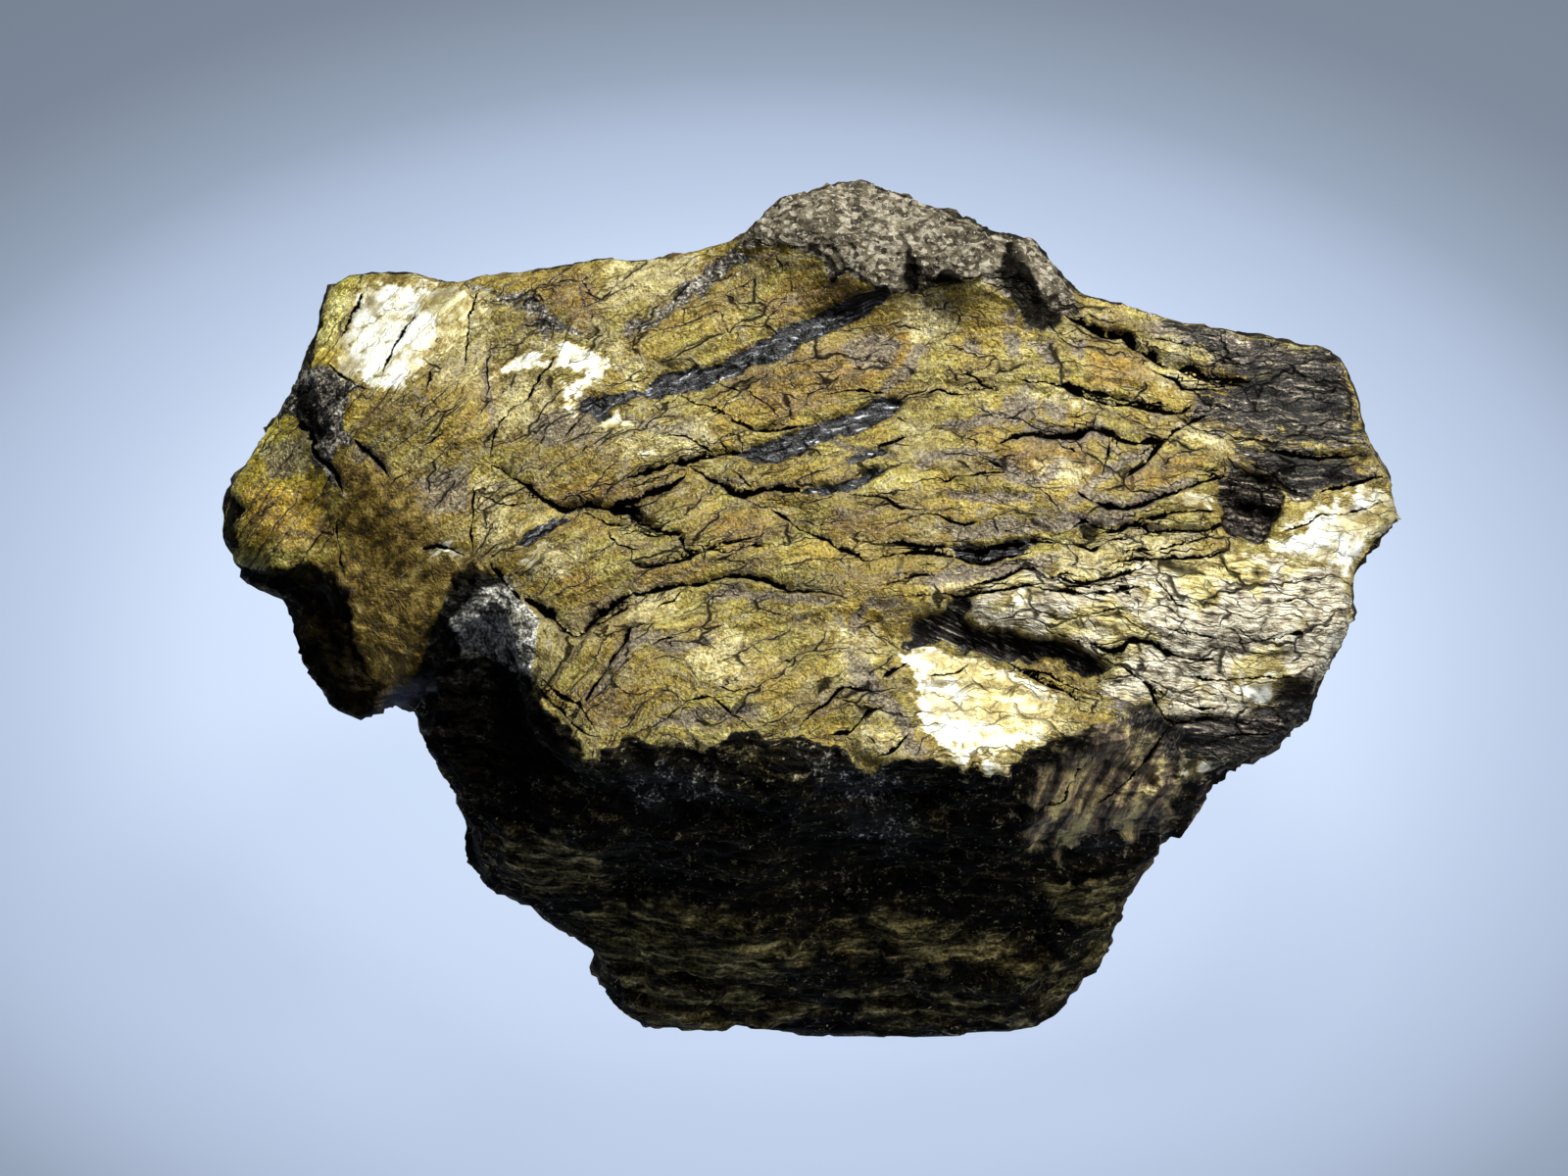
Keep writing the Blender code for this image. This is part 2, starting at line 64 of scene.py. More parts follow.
MM = 0.001
EVEN_FACE = 1.0
FRONT_CUTS = 1
SHEET_CUTS = 2
SAME_SPOT = 0.01
SHEET_FACE = 0.70
SEEN_FACE = 0.05
LOOK_DOWN = math.radians(40)
VIEW_DISTANCE = 463.0
VIEW_MIDDLE = np.array((-2.47, -4.03, 30.85))
TO_RIGHT = np.array((1.0, 0.0, 0.0))
TO_TOP = np.array((0.0, math.sin(LOOK_DOWN), math.cos(LOOK_DOWN)))
TO_VIEWER = np.array((0.0, -math.cos(LOOK_DOWN), math.sin(LOOK_DOWN)))
SHEET_TILT = math.radians(27)
SMALL_LEDGE = 4.0
FRONT_FROM = 0.08
FRONT_FADE = 0.25
FOLIATION = TO_TOP * math.sin(SHEET_TILT) + TO_VIEWER * math.cos(SHEET_TILT)


def apply_modifiers(made):
    """Gives an object the mesh that its modifiers make, and removes them."""
    graph = bpy.context.evaluated_depsgraph_get()
    mesh = bpy.data.meshes.new_from_object(made.evaluated_get(graph))
    made.modifiers.clear()
    made.data = mesh


def smooth(made, rounds):
    """Takes the small facets off a skin."""
    relax = made.modifiers.new("relax", "SMOOTH")
    relax.factor = 0.5
    relax.iterations = rounds
    apply_modifiers(made)


def fine_skin(node):
    """A closed skin of even faces over the solid, finer where it faces the viewer."""
    skin = bmesh.new()
    skin.from_mesh(node.data)
    bmesh.ops.remove_doubles(skin, verts=skin.verts, dist=SAME_SPOT * MM)
    mesh = bpy.data.meshes.new("stone")
    skin.to_mesh(mesh)
    skin.free()
    made = bpy.data.objects.new("stone", mesh)
    bpy.context.scene.collection.objects.link(made)
    even = made.modifiers.new("even faces", "REMESH")
    even.mode = "VOXEL"
    even.voxel_size = EVEN_FACE * MM
    apply_modifiers(made)
    smooth(made, 2)
    skin = bmesh.new()
    skin.from_mesh(made.data)
    skin.normal_update()
    viewer = Vector(TO_VIEWER)
    split_plane = Vector(FOLIATION)
    on_sheet = {face for face in skin.faces if face.normal.dot(split_plane) > SHEET_FACE}
    seen = {face for face in skin.faces if face.normal.dot(viewer) > SEEN_FACE} - on_sheet
    for faces, cuts in ((on_sheet, SHEET_CUTS), (seen, FRONT_CUTS)):
        edges = {edge for face in faces for edge in face.edges if edge.is_valid}
        bmesh.ops.subdivide_edges(skin, edges=list(edges), cuts=cuts, use_grid_fill=True)
    bmesh.ops.triangulate(skin, faces=skin.faces)
    skin.to_mesh(made.data)
    skin.free()
    smooth(made, 2)
    return made


stone = fine_skin(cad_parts["bronzite"])


def read_skin(made, what):
    """The places ("co") or the outward directions ("normal") of an object's vertices."""
    values = np.empty(len(made.data.vertices) * 3)
    made.data.vertices.foreach_get(what, values)
    return values.reshape(-1, 3)


points = read_skin(stone, "co") / MM
outward = read_skin(stone, "normal")
from_middle = points - VIEW_MIDDLE
near = from_middle @ TO_VIEWER
spread = VIEW_DISTANCE / (VIEW_DISTANCE - near)
right = from_middle @ TO_RIGHT * spread
up = from_middle @ TO_TOP * spread
facing = outward @ TO_VIEWER


def in_view():
    """1 where the camera sees a point, or would but for a small ledge of the stone, else 0."""
    tree = bvhtree.BVHTree.FromObject(stone, bpy.context.evaluated_depsgraph_get())
    eye = Vector(VIEW_MIDDLE + TO_VIEWER * VIEW_DISTANCE) * MM
    seen = np.zeros(len(points))
    for number in np.flatnonzero(facing > 0):
        start = Vector(points[number] + SMALL_LEDGE * TO_VIEWER) * MM
        seen[number] = tree.ray_cast(start, (eye - start).normalized())[0] is None
    return seen


front = np.clip((facing - FRONT_FROM) / FRONT_FADE, 0, 1) * in_view()


def fractal(size, seed, rough=0.9):
    """Uneven noise over the stone, from about -1 to 1, with lumps of this size."""
    shift = Vector((seed, 2.3 * seed, 3.1 * seed))
    spots = [Vector(place) / size + shift for place in points]
    return np.array([noise.fractal(spot, rough, 2.1, 4) for spot in spots])


wobble_right = fractal(2.2, 1.3)
wobble_up = fractal(2.2, 7.9)
lumps = fractal(9.0, 4.4)
grit = fractal(1.1, 2.7, 0.6)


def ease(value, low, high):
    """0 below the low value, 1 above the high one, and a smooth step between."""
    share = np.clip((value - low) / (high - low), 0, 1)
    return share * share * (3 - 2 * share)


def beside_path(path, wobble):
    """How far each point is from a path, to its left (+) or right (-), and how far along it."""
    seen_right = right + wobble * wobble_right
    seen_up = up + wobble * wobble_up
    nearest = np.full(right.shape, np.inf)
    side = np.ones(right.shape)
    along = np.zeros(right.shape)
    gone = 0.0
    for (ax, ay), (bx, by) in zip(path, path[1:]):
        run = np.array((bx - ax, by - ay))
        length = float(np.hypot(*run))
        share = ((seen_right - ax) * run[0] + (seen_up - ay) * run[1]) / length**2
        share = np.clip(share, 0, 1)
        off_right = seen_right - ax - share * run[0]
        off_up = seen_up - ay - share * run[1]
        off = np.hypot(off_right, off_up)
        closer = off < nearest
        side = np.where(closer, np.where(run[0] * off_up > run[1] * off_right, 1, -1), side)
        along = np.where(closer, gone + share * length, along)
        nearest = np.where(closer, off, nearest)
        gone += length
    return nearest, side, along, gone


def area_weight(outlines, soft, wobble=0.5):
    """1 inside some outlines of the front view, 0 outside, over an edge of this softness."""
    seen_right = right + wobble * wobble_right
    seen_up = up + wobble * wobble_up
    weight = np.zeros(right.shape)
    for outline in outlines:
        loop = outline + outline[:1]
        nearest = beside_path(loop, wobble)[0]
        within = np.zeros(right.shape, bool)
        for (ax, ay), (bx, by) in zip(loop, loop[1:]):
            if ay != by:
                crossing = ax + (seen_up - ay) * (bx - ax) / (by - ay)
                within ^= ((ay > seen_up) != (by > seen_up)) & (seen_right < crossing)
        inward = np.where(within, nearest, -nearest)
        weight = np.maximum(weight, ease(inward, -soft, soft))
    return weight


# The cleaved sheet
# The golden-bronze top: the rock split along its foliation, in long thin plates that overlap like
# shingles. Its flow bends from steep on the left to level on the right.

SHEET_EDGE = [
    (-41.5, 21.0), (-41.5, 27.5), (-38.0, 29.5), (-28.0, 29.0), (-4.0, 32.0), (6.1, 28.0),
    (9.0, 26.0), (20.0, 28.0), (23.0, 26.0), (30.0, 26.5), (50.0, 23.0), (52.0, 15.0), (57.0, 7.0),
    (51.5, 2.0), (51.0, -5.0), (45.0, -12.5), (37.5, -16.5), (32.0, -13.0), (28.7, -12.2),
    (21.7, -14.3), (20.0, -16.1), (18.2, -14.6), (16.1, -16.1), (13.9, -15.6), (10.9, -17.2),
    (9.1, -17.2), (8.3, -16.5), (7.0, -16.1), (5.2, -14.3), (3.5, -13.9), (1.7, -13.0),
    (-0.9, -13.6), (-2.6, -12.6), (-4.3, -12.8), (-6.1, -13.9), (-7.4, -14.8), (-8.7, -13.9),
    (-11.0, -14.1), (-13.0, -13.2), (-14.3, -13.2), (-15.2, -14.3), (-16.3, -14.3), (-16.4, -15.2),
    (-18.5, -15.2), (-18.9, -13.9), (-18.7, -12.6), (-20.9, -10.9), (-22.2, -9.6), (-22.6, -7.8),
    (-21.5, -3.0), (-25.0, 1.0), (-28.5, 1.5), (-31.0, -3.0), (-34.5, -9.0), (-38.0, -9.0),
    (-39.5, -3.0), (-44.0, 1.0), (-49.0, 1.5), (-51.0, 6.0), (-48.0, 12.0), (-43.0, 18.0),
]
FLOW_SLOPE = {
    -60: 1.3, -38: 1.1, -28: 0.7, -18: 0.42, -6: 0.33, 4: 0.15, 12: -0.03, 24: -0.14, 60: -0.12,
}
PLATE_LENGTH = 8.0
PLATE_WIDTH = 2.3
PLATE_RISE = 0.17
PLATE_TILT = 0.03
PLATE_GAP = 0.10
PLATE_GAP_WIDTH = 0.16
FLAKE_LENGTH = 3.2
FLAKE_WIDTH = 0.95
FLAKE_RISE = 0.07


def flow_across():
    """How far each point is across the flow of the sheet, in millimetres."""
    steps = np.linspace(-60, 60, 600)
    slope = np.interp(steps, list(FLOW_SLOPE), list(FLOW_SLOPE.values()))
    climb = np.cumsum(slope) * (steps[1] - steps[0])
    steep = ease(-up, 2.0, 7.0) * ease(-right, 6.0, 12.0)
    return up - np.interp(right, steps, climb) - 0.8 * steep * (right + 16.0) + 0.5 * lumps


def plates(length, width, seed):
    """Long plates laid along the flow: three random numbers for each one, where a point is on
    its plate, and how far it is from the plate's edge (in plate widths)."""
    chance = np.random.default_rng(seed).uniform(size=(4096, 3))
    along = (right + 1.5 * lumps) / length
    across = (flow + 0.5 * wobble_up) / width
    column = np.floor(along)
    row = np.floor(across)
    first = np.full(along.shape, np.inf)
    second = np.full(along.shape, np.inf)
    own = np.zeros((len(along), 3))
    place = np.zeros(along.shape)
    for step_along in (-1, 0, 1):
        for step_across in (-1, 0, 1):
            key = (column + step_along) * 7919 + (row + step_across) * 104729
            random = chance[np.mod(key, 4096).astype(int)]
            off_along = along - column - step_along - random[:, 0]
            off_across = across - row - step_across - random[:, 1]
            away = np.hypot(off_along, off_across)
            closer = away < first
            second = np.where(closer, first, np.minimum(second, away))
            first = np.where(closer, away, first)
            place = np.where(closer, off_across, place)
            own = np.where(closer[:, None], chance[np.mod(key + 17, 4096).astype(int)], own)
    return own, place, second - first


flow = flow_across()
level = ease(outward[:, 2], -0.12, 0.10)
sheet = area_weight([SHEET_EDGE], 0.25, 0.35) * front * level
plate_chance, plate_place, plate_edge = plates(PLATE_LENGTH, PLATE_WIDTH, 5)
flake_chance, flake_place, _ = plates(FLAKE_LENGTH, FLAKE_WIDTH, 23)
relief = sheet * PLATE_RISE * (plate_chance[:, 0] - 0.5 - 0.8 * plate_place)
relief += sheet * FLAKE_RISE * (flake_chance[:, 0] - 0.5 - 0.7 * flake_place)
relief += sheet * PLATE_TILT * (plate_chance[:, 1] - 0.5) * (right % PLATE_LENGTH)
relief -= sheet * PLATE_GAP * (1 - ease(plate_edge, 0.0, PLATE_GAP_WIDTH))

# The cracks of the sheet
# Dark gaps between the laminae, traced one by one: half width and path, in millimetres. Each is
# widest in its middle, runs out at both ends, and has its lower lip raised.

CRACKS = [
    # left rim
    (0.11, [(-31.7, 25.8), (-32.6, 24.5), (-33.2, 23.5), (-34.1, 22.2), (-34.9, 21.1),
        (-35.4, 19.8), (-35.8, 18.7)]),
    (0.2, [(-37.2, 26.2), (-38.1, 24.8), (-38.8, 23.5), (-39.2, 22.2)]),
    (0.13, [(-40.4, 19.8), (-39.1, 18.9), (-37.8, 17.8), (-36.8, 17.6)]),
    (0.09, [(-30.8, 19.8), (-31.5, 18.7), (-31.8, 17.6)]),
    (0.13, [(-29.9, 13.9), (-31.3, 13.2), (-32.6, 12.3), (-34, 11.9)]),
    (0.11, [(-31.2, 14.8), (-32.6, 13.9), (-33.8, 13), (-34.8, 12.1)]),
    (0.09, [(-32.5, 11.3), (-33.5, 10), (-34.8, 9.5)]),
    (0.22, [(-38.1, 13.2), (-36.5, 11.6), (-35.1, 9.9)]),
    (0.3, [(-43.5, 15.3), (-42.2, 13.9), (-41.6, 12.5), (-40.8, 11.3), (-39.9, 10.3), (-39, 8.5)]),
    (0.11, [(-39.5, 6.7), (-39.7, 4.8), (-39.5, 3), (-39, 0.7)]),
    (0.13, [(-27.5, 8.9), (-27.6, 6.5), (-27.8, 4.8), (-27.6, 2.8)]),
    (0.07, [(-27.1, 8.4), (-25.6, 7.6), (-24.3, 7.4), (-22.5, 7.6)]),
    (0.17, [(-32.3, 3.5), (-30.8, 3.8), (-29.5, 3.4), (-28, 2.6)]),
    (0.22, [(-26.1, 2.3), (-24.8, 0.4), (-23.4, -1)]),
    (0.15, [(-27.1, 26.2), (-27.8, 24.3), (-28, 22.2), (-28.3, 19.8)]),
    (0.09, [(-26.1, 21.7), (-26.3, 20), (-26.1, 18.1), (-26.6, 16.3)]),
    # centre
    (0.11, [(-26.1, 10.9), (-25.9, 12.2), (-25.8, 13.3), (-25.2, 14.6), (-24.2, 15.8),
        (-22.6, 16.7), (-22.2, 18), (-20.9, 19.6), (-20.2, 20.7), (-19.5, 21.7), (-19.2, 22.9)]),
    (0.2, [(-26.2, 11.1), (-25, 10.6), (-24.2, 10), (-23, 9), (-21.7, 8), (-20.6, 7.3)]),
    (0.43, [(-21.2, 7.6), (-19.3, 7.1), (-17.4, 7.4), (-15.2, 7), (-13.6, 6.9), (-12.9, 6.1),
        (-11.7, 5.5), (-10.4, 5), (-9.2, 4.7)]),
    (0.26, [(-12.6, 6.2), (-10.9, 5.1), (-9.6, 4.7), (-9, 4), (-8.9, 3.4), (-7.6, 3.2)]),
    (0.3, [(-15.5, 7), (-13.9, 7.6), (-12.6, 8.2), (-11.3, 8.6), (-10, 9.1), (-8.8, 9.9)]),
    (0.28, [(-14.1, 9.7), (-12.6, 10.1), (-11.5, 10.6), (-10.4, 11), (-8.7, 11.2), (-7, 11.6),
        (-4.8, 12.1), (-3.1, 12.3)]),
    (0.26, [(-8.2, 10.6), (-6.8, 9.9), (-5.6, 9.3), (-4.8, 8.7), (-3.6, 8.3), (-2.2, 8.7),
        (-0.4, 8.8), (1.9, 8.5)]),
    (0.07, [(-17.4, 10.8), (-16.5, 12), (-15.5, 13.2), (-14.3, 14)]),
    (0.11, [(-19.3, 13.7), (-18.2, 15.1), (-17, 16.3)]),
    (0.15, [(-6.6, 15.8), (-5.4, 15.3), (-4.2, 14.6), (-2.6, 14.1), (-1.3, 14), (0, 14.2),
        (2.3, 14.4)]),
    (0.08, [(-9.6, 17.4), (-8.4, 16.5), (-7.1, 16.2), (-6.1, 15.8), (-4.7, 15.2)]),
    (0.1, [(-10.9, 13.5), (-8.7, 13.5), (-7.6, 12.9), (-6.8, 12.3), (-5.6, 11.6)]),
    (0.1, [(-5.7, 13.3), (-5, 12.3), (-4.2, 11.9)]),
    (0.08, [(-6.2, 18.4), (-4.8, 17.6), (-3, 17.4), (-2.2, 16.9), (-1.3, 16.1), (-0.3, 15.1)]),
    (0.13, [(3.7, 17.2), (6.1, 17.6), (8.9, 17.3)]),
    (0.08, [(-5.3, 10.9), (-4.5, 10.3), (-3.6, 9.6), (-2.9, 9)]),
    (0.17, [(-17.7, 6.6), (-16.5, 6), (-15.5, 5.6), (-13.7, 5.6)]),
    (0.11, [(-14.3, 4.7), (-13, 5.2), (-12.2, 4.8), (-10.7, 4.4)]),
    (0.22, [(-1, 6.9), (0.4, 5.9), (1.7, 5.2), (3, 4.5), (3.9, 4.3), (4.3, 3.8), (5.6, 3.2),
        (7, 2.6), (8.1, 2.5)]),
    (0.08, [(0.5, 7.3), (2.6, 6.8), (4.3, 6.1), (5.8, 6)]),
    # front
    (0.2, [(-13.6, 2.3), (-12.6, 1.9), (-11.1, 2), (-9.6, 2.4), (-8.3, 2.9), (-6.5, 3.5),
        (-5.6, 4.1), (-4.3, 4.3), (-2.4, 4.5)]),
    (0.17, [(-6.6, 3.3), (-5.2, 3.2), (-4.2, 3.5), (-3, 3.8), (-2, 3.7)]),
    (0.39, [(-22.9, -0.9), (-21.7, -1.6), (-20.4, -2.6), (-19.6, -3.5), (-18.6, -3.9),
        (-17.6, -3.4), (-16.9, -2.6), (-15.6, -1.7), (-14.3, -0.9), (-13.3, -0.3)]),
    (0.26, [(-13.9, -0.5), (-12.2, -0.5), (-10.4, 0), (-8.7, 0.3), (-7, 0.5), (-5.2, 0.9),
        (-3.5, 1), (-1.9, 0.9), (-0.4, 0.3), (0.4, -0.2), (2.6, -0.3), (3.6, -0.2)]),
    (0.13, [(-17.7, -3.6), (-16.5, -3.2), (-15.2, -2.4), (-13.3, -1.7)]),
    (0.07, [(-3.6, -1.4), (-2.2, -1.1), (-0.4, -0.7), (1, -0.3)]),
    (0.26, [(-13.4, -3.4), (-14.3, -4.8), (-15.2, -5.9), (-15.8, -7), (-16.5, -7.8),
        (-17.1, -9.1), (-17.5, -10.2)]),
    (0.13, [(-13.1, -5.5), (-11.7, -4.8), (-10.6, -4.2), (-9.4, -4.2)]),
    (0.15, [(-21.8, -7.6), (-20.9, -8.7), (-19.6, -9.6), (-18.2, -10.4), (-17.6, -11.3),
        (-17, -12.1)]),
    (0.15, [(-22.2, -8.3), (-21.3, -9.6), (-20, -10.6), (-19.1, -11.6), (-18.4, -12.3),
        (-17.6, -13), (-16.3, -13.3)]),
    (0.07, [(-15, -8.6), (-13.9, -9.3), (-12.9, -9.6), (-11.6, -9)]),
    (0.13, [(-13.2, -13.1), (-11.7, -12.3), (-10.6, -11.6), (-9.6, -10.9), (-8.3, -10),
        (-6.5, -9.7), (-5.6, -10.3), (-4.8, -10.9), (-3.9, -11.7), (-2.9, -12.4)]),
    (0.07, [(-5.7, -8.6), (-4.3, -9.1), (-2.9, -8.9)]),
    (0.15, [(1.1, -12.8), (1.7, -11.7), (2.6, -10.9), (3.9, -10.2), (4.8, -9.1), (5.9, -8.7),
        (7.4, -8.9), (8.6, -9.3)]),
    (0.24, [(4.2, -13.1), (5.9, -12.6), (6.8, -11.6), (7.6, -10.9), (8.9, -10.5)]),
    (0.07, [(-19.5, 3.3), (-18.2, 2.3), (-17.2, 1.9)]),
    (0.09, [(-15.6, 4.8), (-14.6, 3.8), (-13, 3.5)]),
    (0.15, [(8.5, -14.9), (10, -14.1), (11, -12.9)]),
    (0.09, [(-8.7, 0), (-9.6, -1), (-11.1, -1.6)]),
    # right
    (0.2, [(20.7, 18.5), (23, 18.2), (24.8, 18), (26.1, 17.3), (27.4, 16.7), (28.7, 16.4),
        (30.4, 16.3), (32.2, 15.9), (33.9, 15.6), (35.2, 15.6), (36.2, 16.2)]),
    (0.24, [(24.7, 18.2), (26.5, 17.7), (28.2, 17.1), (30, 16.8), (31.7, 16.4), (33.4, 16.3)]),
    (0.28, [(19.2, 12.8), (20, 13.5), (21.3, 13.6), (23, 13.6), (24.8, 13.5), (26.1, 13.6),
        (27.4, 14.2), (28.2, 13.9), (29.5, 13.5), (31.3, 13.1), (33.5, 13), (34.8, 13.9),
        (36.1, 14.8), (37.5, 15.3)]),
    (0.41, [(25, 24.1), (26.2, 23.6), (27.4, 22.8), (28.7, 22.4), (30.4, 22.3), (31.1, 21.3),
        (32.6, 20.6), (34.3, 20), (36.5, 19.3), (38.7, 18.7), (41.5, 18.4)]),
    (0.1, [(23.3, 22.8), (24.8, 22.5), (26.2, 22.9)]),
    (0.11, [(24.2, 25), (25.6, 25.1), (26.3, 24.4)]),
    (0.12, [(15.6, 19.3), (16.8, 18.9), (17.4, 18), (18.9, 17.5)]),
    (0.12, [(8.1, 12.6), (10, 13), (10.9, 13.5), (12.2, 13.7), (13.2, 14.2), (15.1, 14.3)]),
    (0.12, [(12.4, 17), (13.6, 17.6), (14.9, 17.2), (16.3, 17.1)]),
    (0.09, [(10.7, 9.3), (12.2, 9.6), (13.5, 9.8), (14.3, 9.4), (15.2, 9.9), (16.5, 10),
        (18.2, 10.2), (20.2, 10.3)]),
    (0.13, [(5.9, 8.4), (7.4, 8.1), (9.1, 7.8), (10.4, 7.2), (11.3, 7)]),
    (0.12, [(11.6, 6.7), (13.5, 6.5), (14.6, 6), (15.8, 5.7), (17.1, 5.9)]),
    (0.24, [(25.9, 8.6), (27.1, 8), (28.5, 7.4), (30, 7.1), (31.3, 7.2), (32.6, 7.8), (33.9, 8.3),
        (35.6, 8.9), (37.4, 9.6), (39.3, 9.9)]),
    (0.1, [(14.2, 11.9), (16.1, 11.9), (17.8, 11.6), (18.9, 10.9), (20.6, 10.1)]),
    (0.13, [(28.9, 13.1), (28.9, 12.3), (28.7, 11.7), (28.4, 11), (28.2, 10.3)]),
    (0.09, [(24.2, 13.1), (25.2, 12.6), (26.1, 12.1)]),
    (0.2, [(30.2, 9.7), (31.5, 10.8), (32.3, 11.5), (33, 12.4), (34.1, 13.1)]),
    (0.14, [(32.4, 19.6), (33.6, 18.9), (34.8, 18.4), (35.2, 17.8), (36.9, 17.6), (38.8, 17.4)]),
    (0.1, [(32.8, 22.1), (35.6, 21.6), (38.2, 21), (40.1, 20.1)]),
    (0.13, [(34.6, 19.6), (36.5, 18.7), (38.7, 18.1), (41, 17.8)]),
    (0.07, [(25, 15.2), (26.9, 15.4), (28.4, 15.2)]),
    (0.09, [(33.9, 9.8), (35.6, 10.4), (37.4, 10.6), (38.8, 10.3)]),
    (0.22, [(23.7, 4.7), (25.2, 5.1), (26.1, 5.8), (26.9, 6.1), (27.8, 5.5), (29.1, 5.2),
        (30.4, 5.4), (31.7, 6.1), (33.5, 6.5), (35.6, 6.7), (38.4, 6.8)]),
    (0.3, [(26.8, 4.8), (28.7, 4.8), (30.4, 5.6), (32.6, 5.2), (34.8, 5.2), (37.4, 5.2),
        (39.3, 5.6)]),
    (0.13, [(25.5, 4), (27.4, 3.3), (28.7, 3.9), (30.4, 4.5), (33, 4.8), (35.8, 4.8)]),
    (0.2, [(30.2, 3.2), (31.7, 3.3), (33.9, 3.8), (35.6, 4.2), (38, 4.6)]),
    (0.17, [(28.5, 2.1), (30.8, 2.5), (33, 2.6), (35.6, 2.6), (37.8, 2.9), (39.3, 3.4)]),
    (0.2, [(22.4, 0.9), (24.3, 0.9), (25.6, 0.4), (26.9, 0.3), (28.2, 0.9), (30.4, 1.5),
        (32.3, 2)]),
    (0.15, [(25.9, -0.5), (27.8, -0.3), (29.5, 0), (31.5, 0)]),
    (0.17, [(30.3, -0.3), (31.3, -0.9), (31.5, -1.6), (30.8, -2.1)]),
    (0.1, [(32.9, 1), (33.9, -0.4), (34.8, -1.6), (36.2, -2)]),
    (0.1, [(39, -0.1), (40, -1.1), (40.5, -1.9)]),
    (0.15, [(44.1, 5.1), (46.1, 5.6), (47.8, 6.5), (50, 6.8), (51.7, 7.1), (53.6, 7.7)]),
    (0.2, [(47.6, 8.6), (50, 9.1), (52.1, 9.6), (53.4, 9.8)]),
    (0.2, [(42.4, 12.2), (44.3, 11.9), (46.9, 11.6), (49.5, 11.6), (51.9, 11.7)]),
    (0.15, [(41.5, 10.9), (43, 10), (44.3, 9.1), (46.2, 8.3)]),
    (0.09, [(43.3, -1.1), (46.9, -0.9), (49.8, -1)]),
    (0.22, [(8.1, 3.8), (10.4, 4.1), (13, 3.6), (15.2, 3.6), (17.4, 3.5), (20, 4.1), (22.2, 4.3),
        (24.5, 4.1)]),
    (0.22, [(8.5, 2.8), (10.9, 3.3), (13, 3), (15.6, 2.8), (17.4, 2.4), (19.1, 3), (21.9, 3.3)]),
    (0.13, [(9, 0.2), (10.4, 0.7), (11.7, 1), (13.2, 1.1)]),
    (0.2, [(15.9, 0.1), (17.8, 0.6), (19.6, 1.3), (21.3, 2), (22.2, 1.9), (23, 0.9), (25.2, 1.3),
        (26.7, 0.9)]),
    (0.17, [(8.1, -0.7), (11.3, -0.7), (13.9, -0.5), (16.1, -0.7), (17.4, -0.4), (19.6, 0),
        (21.7, 0.3), (23.9, -0.3), (26.1, -0.6), (28.7, -0.4), (30.6, -0.2)]),
    (0.24, [(25.9, -4.7), (27.4, -5), (28.7, -5.6), (30, -5.4), (30.8, -4.8), (32.6, -4.8),
        (33.9, -5.6), (36.1, -6.3), (38.5, -6.3)]),
    (0.2, [(29.8, -6.9), (31.3, -7.8), (32.6, -8.7), (32.8, -10), (33.9, -11.7), (35.2, -12),
        (36.9, -11.7), (38.9, -11.6)]),
    (0.15, [(33.3, -9), (34.8, -10), (36.1, -10.4), (38.4, -10.7)]),
    (0.2, [(19.8, -6.4), (21.7, -7.6), (23, -8.5), (24.8, -9.1), (27.1, -10.3)]),
    (0.15, [(21.1, -7), (23.5, -7.8), (25.6, -8.7), (27.5, -9.6)]),
    (0.2, [(9, -7.9), (10, -7.2), (11, -6.7)]),
    (0.09, [(12.9, -7.9), (15.2, -7.6), (16.3, -6.9)]),
    (0.15, [(27.6, -19.3), (30.4, -17.4), (31.7, -15.6), (33, -13.9), (34.9, -11.6)]),
    (0.11, [(21.6, -20.1), (24.3, -18.7), (26.1, -16.5), (28, -13.7)]),
    (0.13, [(34.8, -3.5), (37.8, -4.5), (40.8, -4.8), (44.3, -4.2), (47.8, -3.9)]),
    (0.13, [(36.1, -7.8), (38.7, -8.3), (41.7, -7.8), (45.2, -8.1)]),
    (0.13, [(37.4, -13.9), (39.5, -13.2), (42.1, -12.9), (45, -12.3)]),
    (0.11, [(39.5, -9.2), (42.1, -10.1), (44.3, -10.3)]),
    (0.11, [(26.9, -2.4), (29.1, -1.9), (31.3, -1.8)]),
    (0.09, [(33, -3.5), (36.1, -4.2), (38.2, -4.3)]),
]
CRACK_REACH = 1.2
CRACK_DEPTH = 2.3
HAIR_WIDTH = 0.06
WIDE_CRACK = 0.35
RUN_OUT = 0.22
LIP_RISE = 0.16
LIP_WIDTH = 0.7


def cut_cracks():
    """How deep the cracks are and how far their lips rise at each point, how far off the nearest
    crack is (with a sign for the side), and how wide that crack is there, from its middle."""
    depth = np.zeros(right.shape)
    lip = np.zeros(right.shape)
    sided = np.full(right.shape, CRACK_REACH)
    opening = np.zeros(right.shape)
    for half_width, path in CRACKS:
        nearest, side, along, length = beside_path(path, 0.22)
        taper = np.clip(np.minimum(along, length - along) / (RUN_OUT * length), 0.0, 1.0)
        width = half_width * (0.15 + 0.85 * np.sqrt(taper)) * np.clip(1 + 0.75 * grit, 0.3, 1.5)
        share = nearest / np.maximum(width, 0.02)
        deep = CRACK_DEPTH * max(half_width - HAIR_WIDTH, 0.0)
        depth = np.maximum(depth, deep * np.clip(1.25 - share, 0, 1) * taper)
        below = side * np.sign(path[-1][0] - path[0][0]) < 0
        rise = LIP_RISE * np.minimum(half_width, WIDE_CRACK) / WIDE_CRACK
        rise = rise * np.exp(-nearest / LIP_WIDTH) * taper
        lip = np.maximum(lip, np.where(below, rise, 0.0))
        closer = nearest < np.abs(sided)
        sided = np.where(closer, nearest * side, sided)
        opening = np.where(closer, width, opening)
    return depth, lip, sided, opening


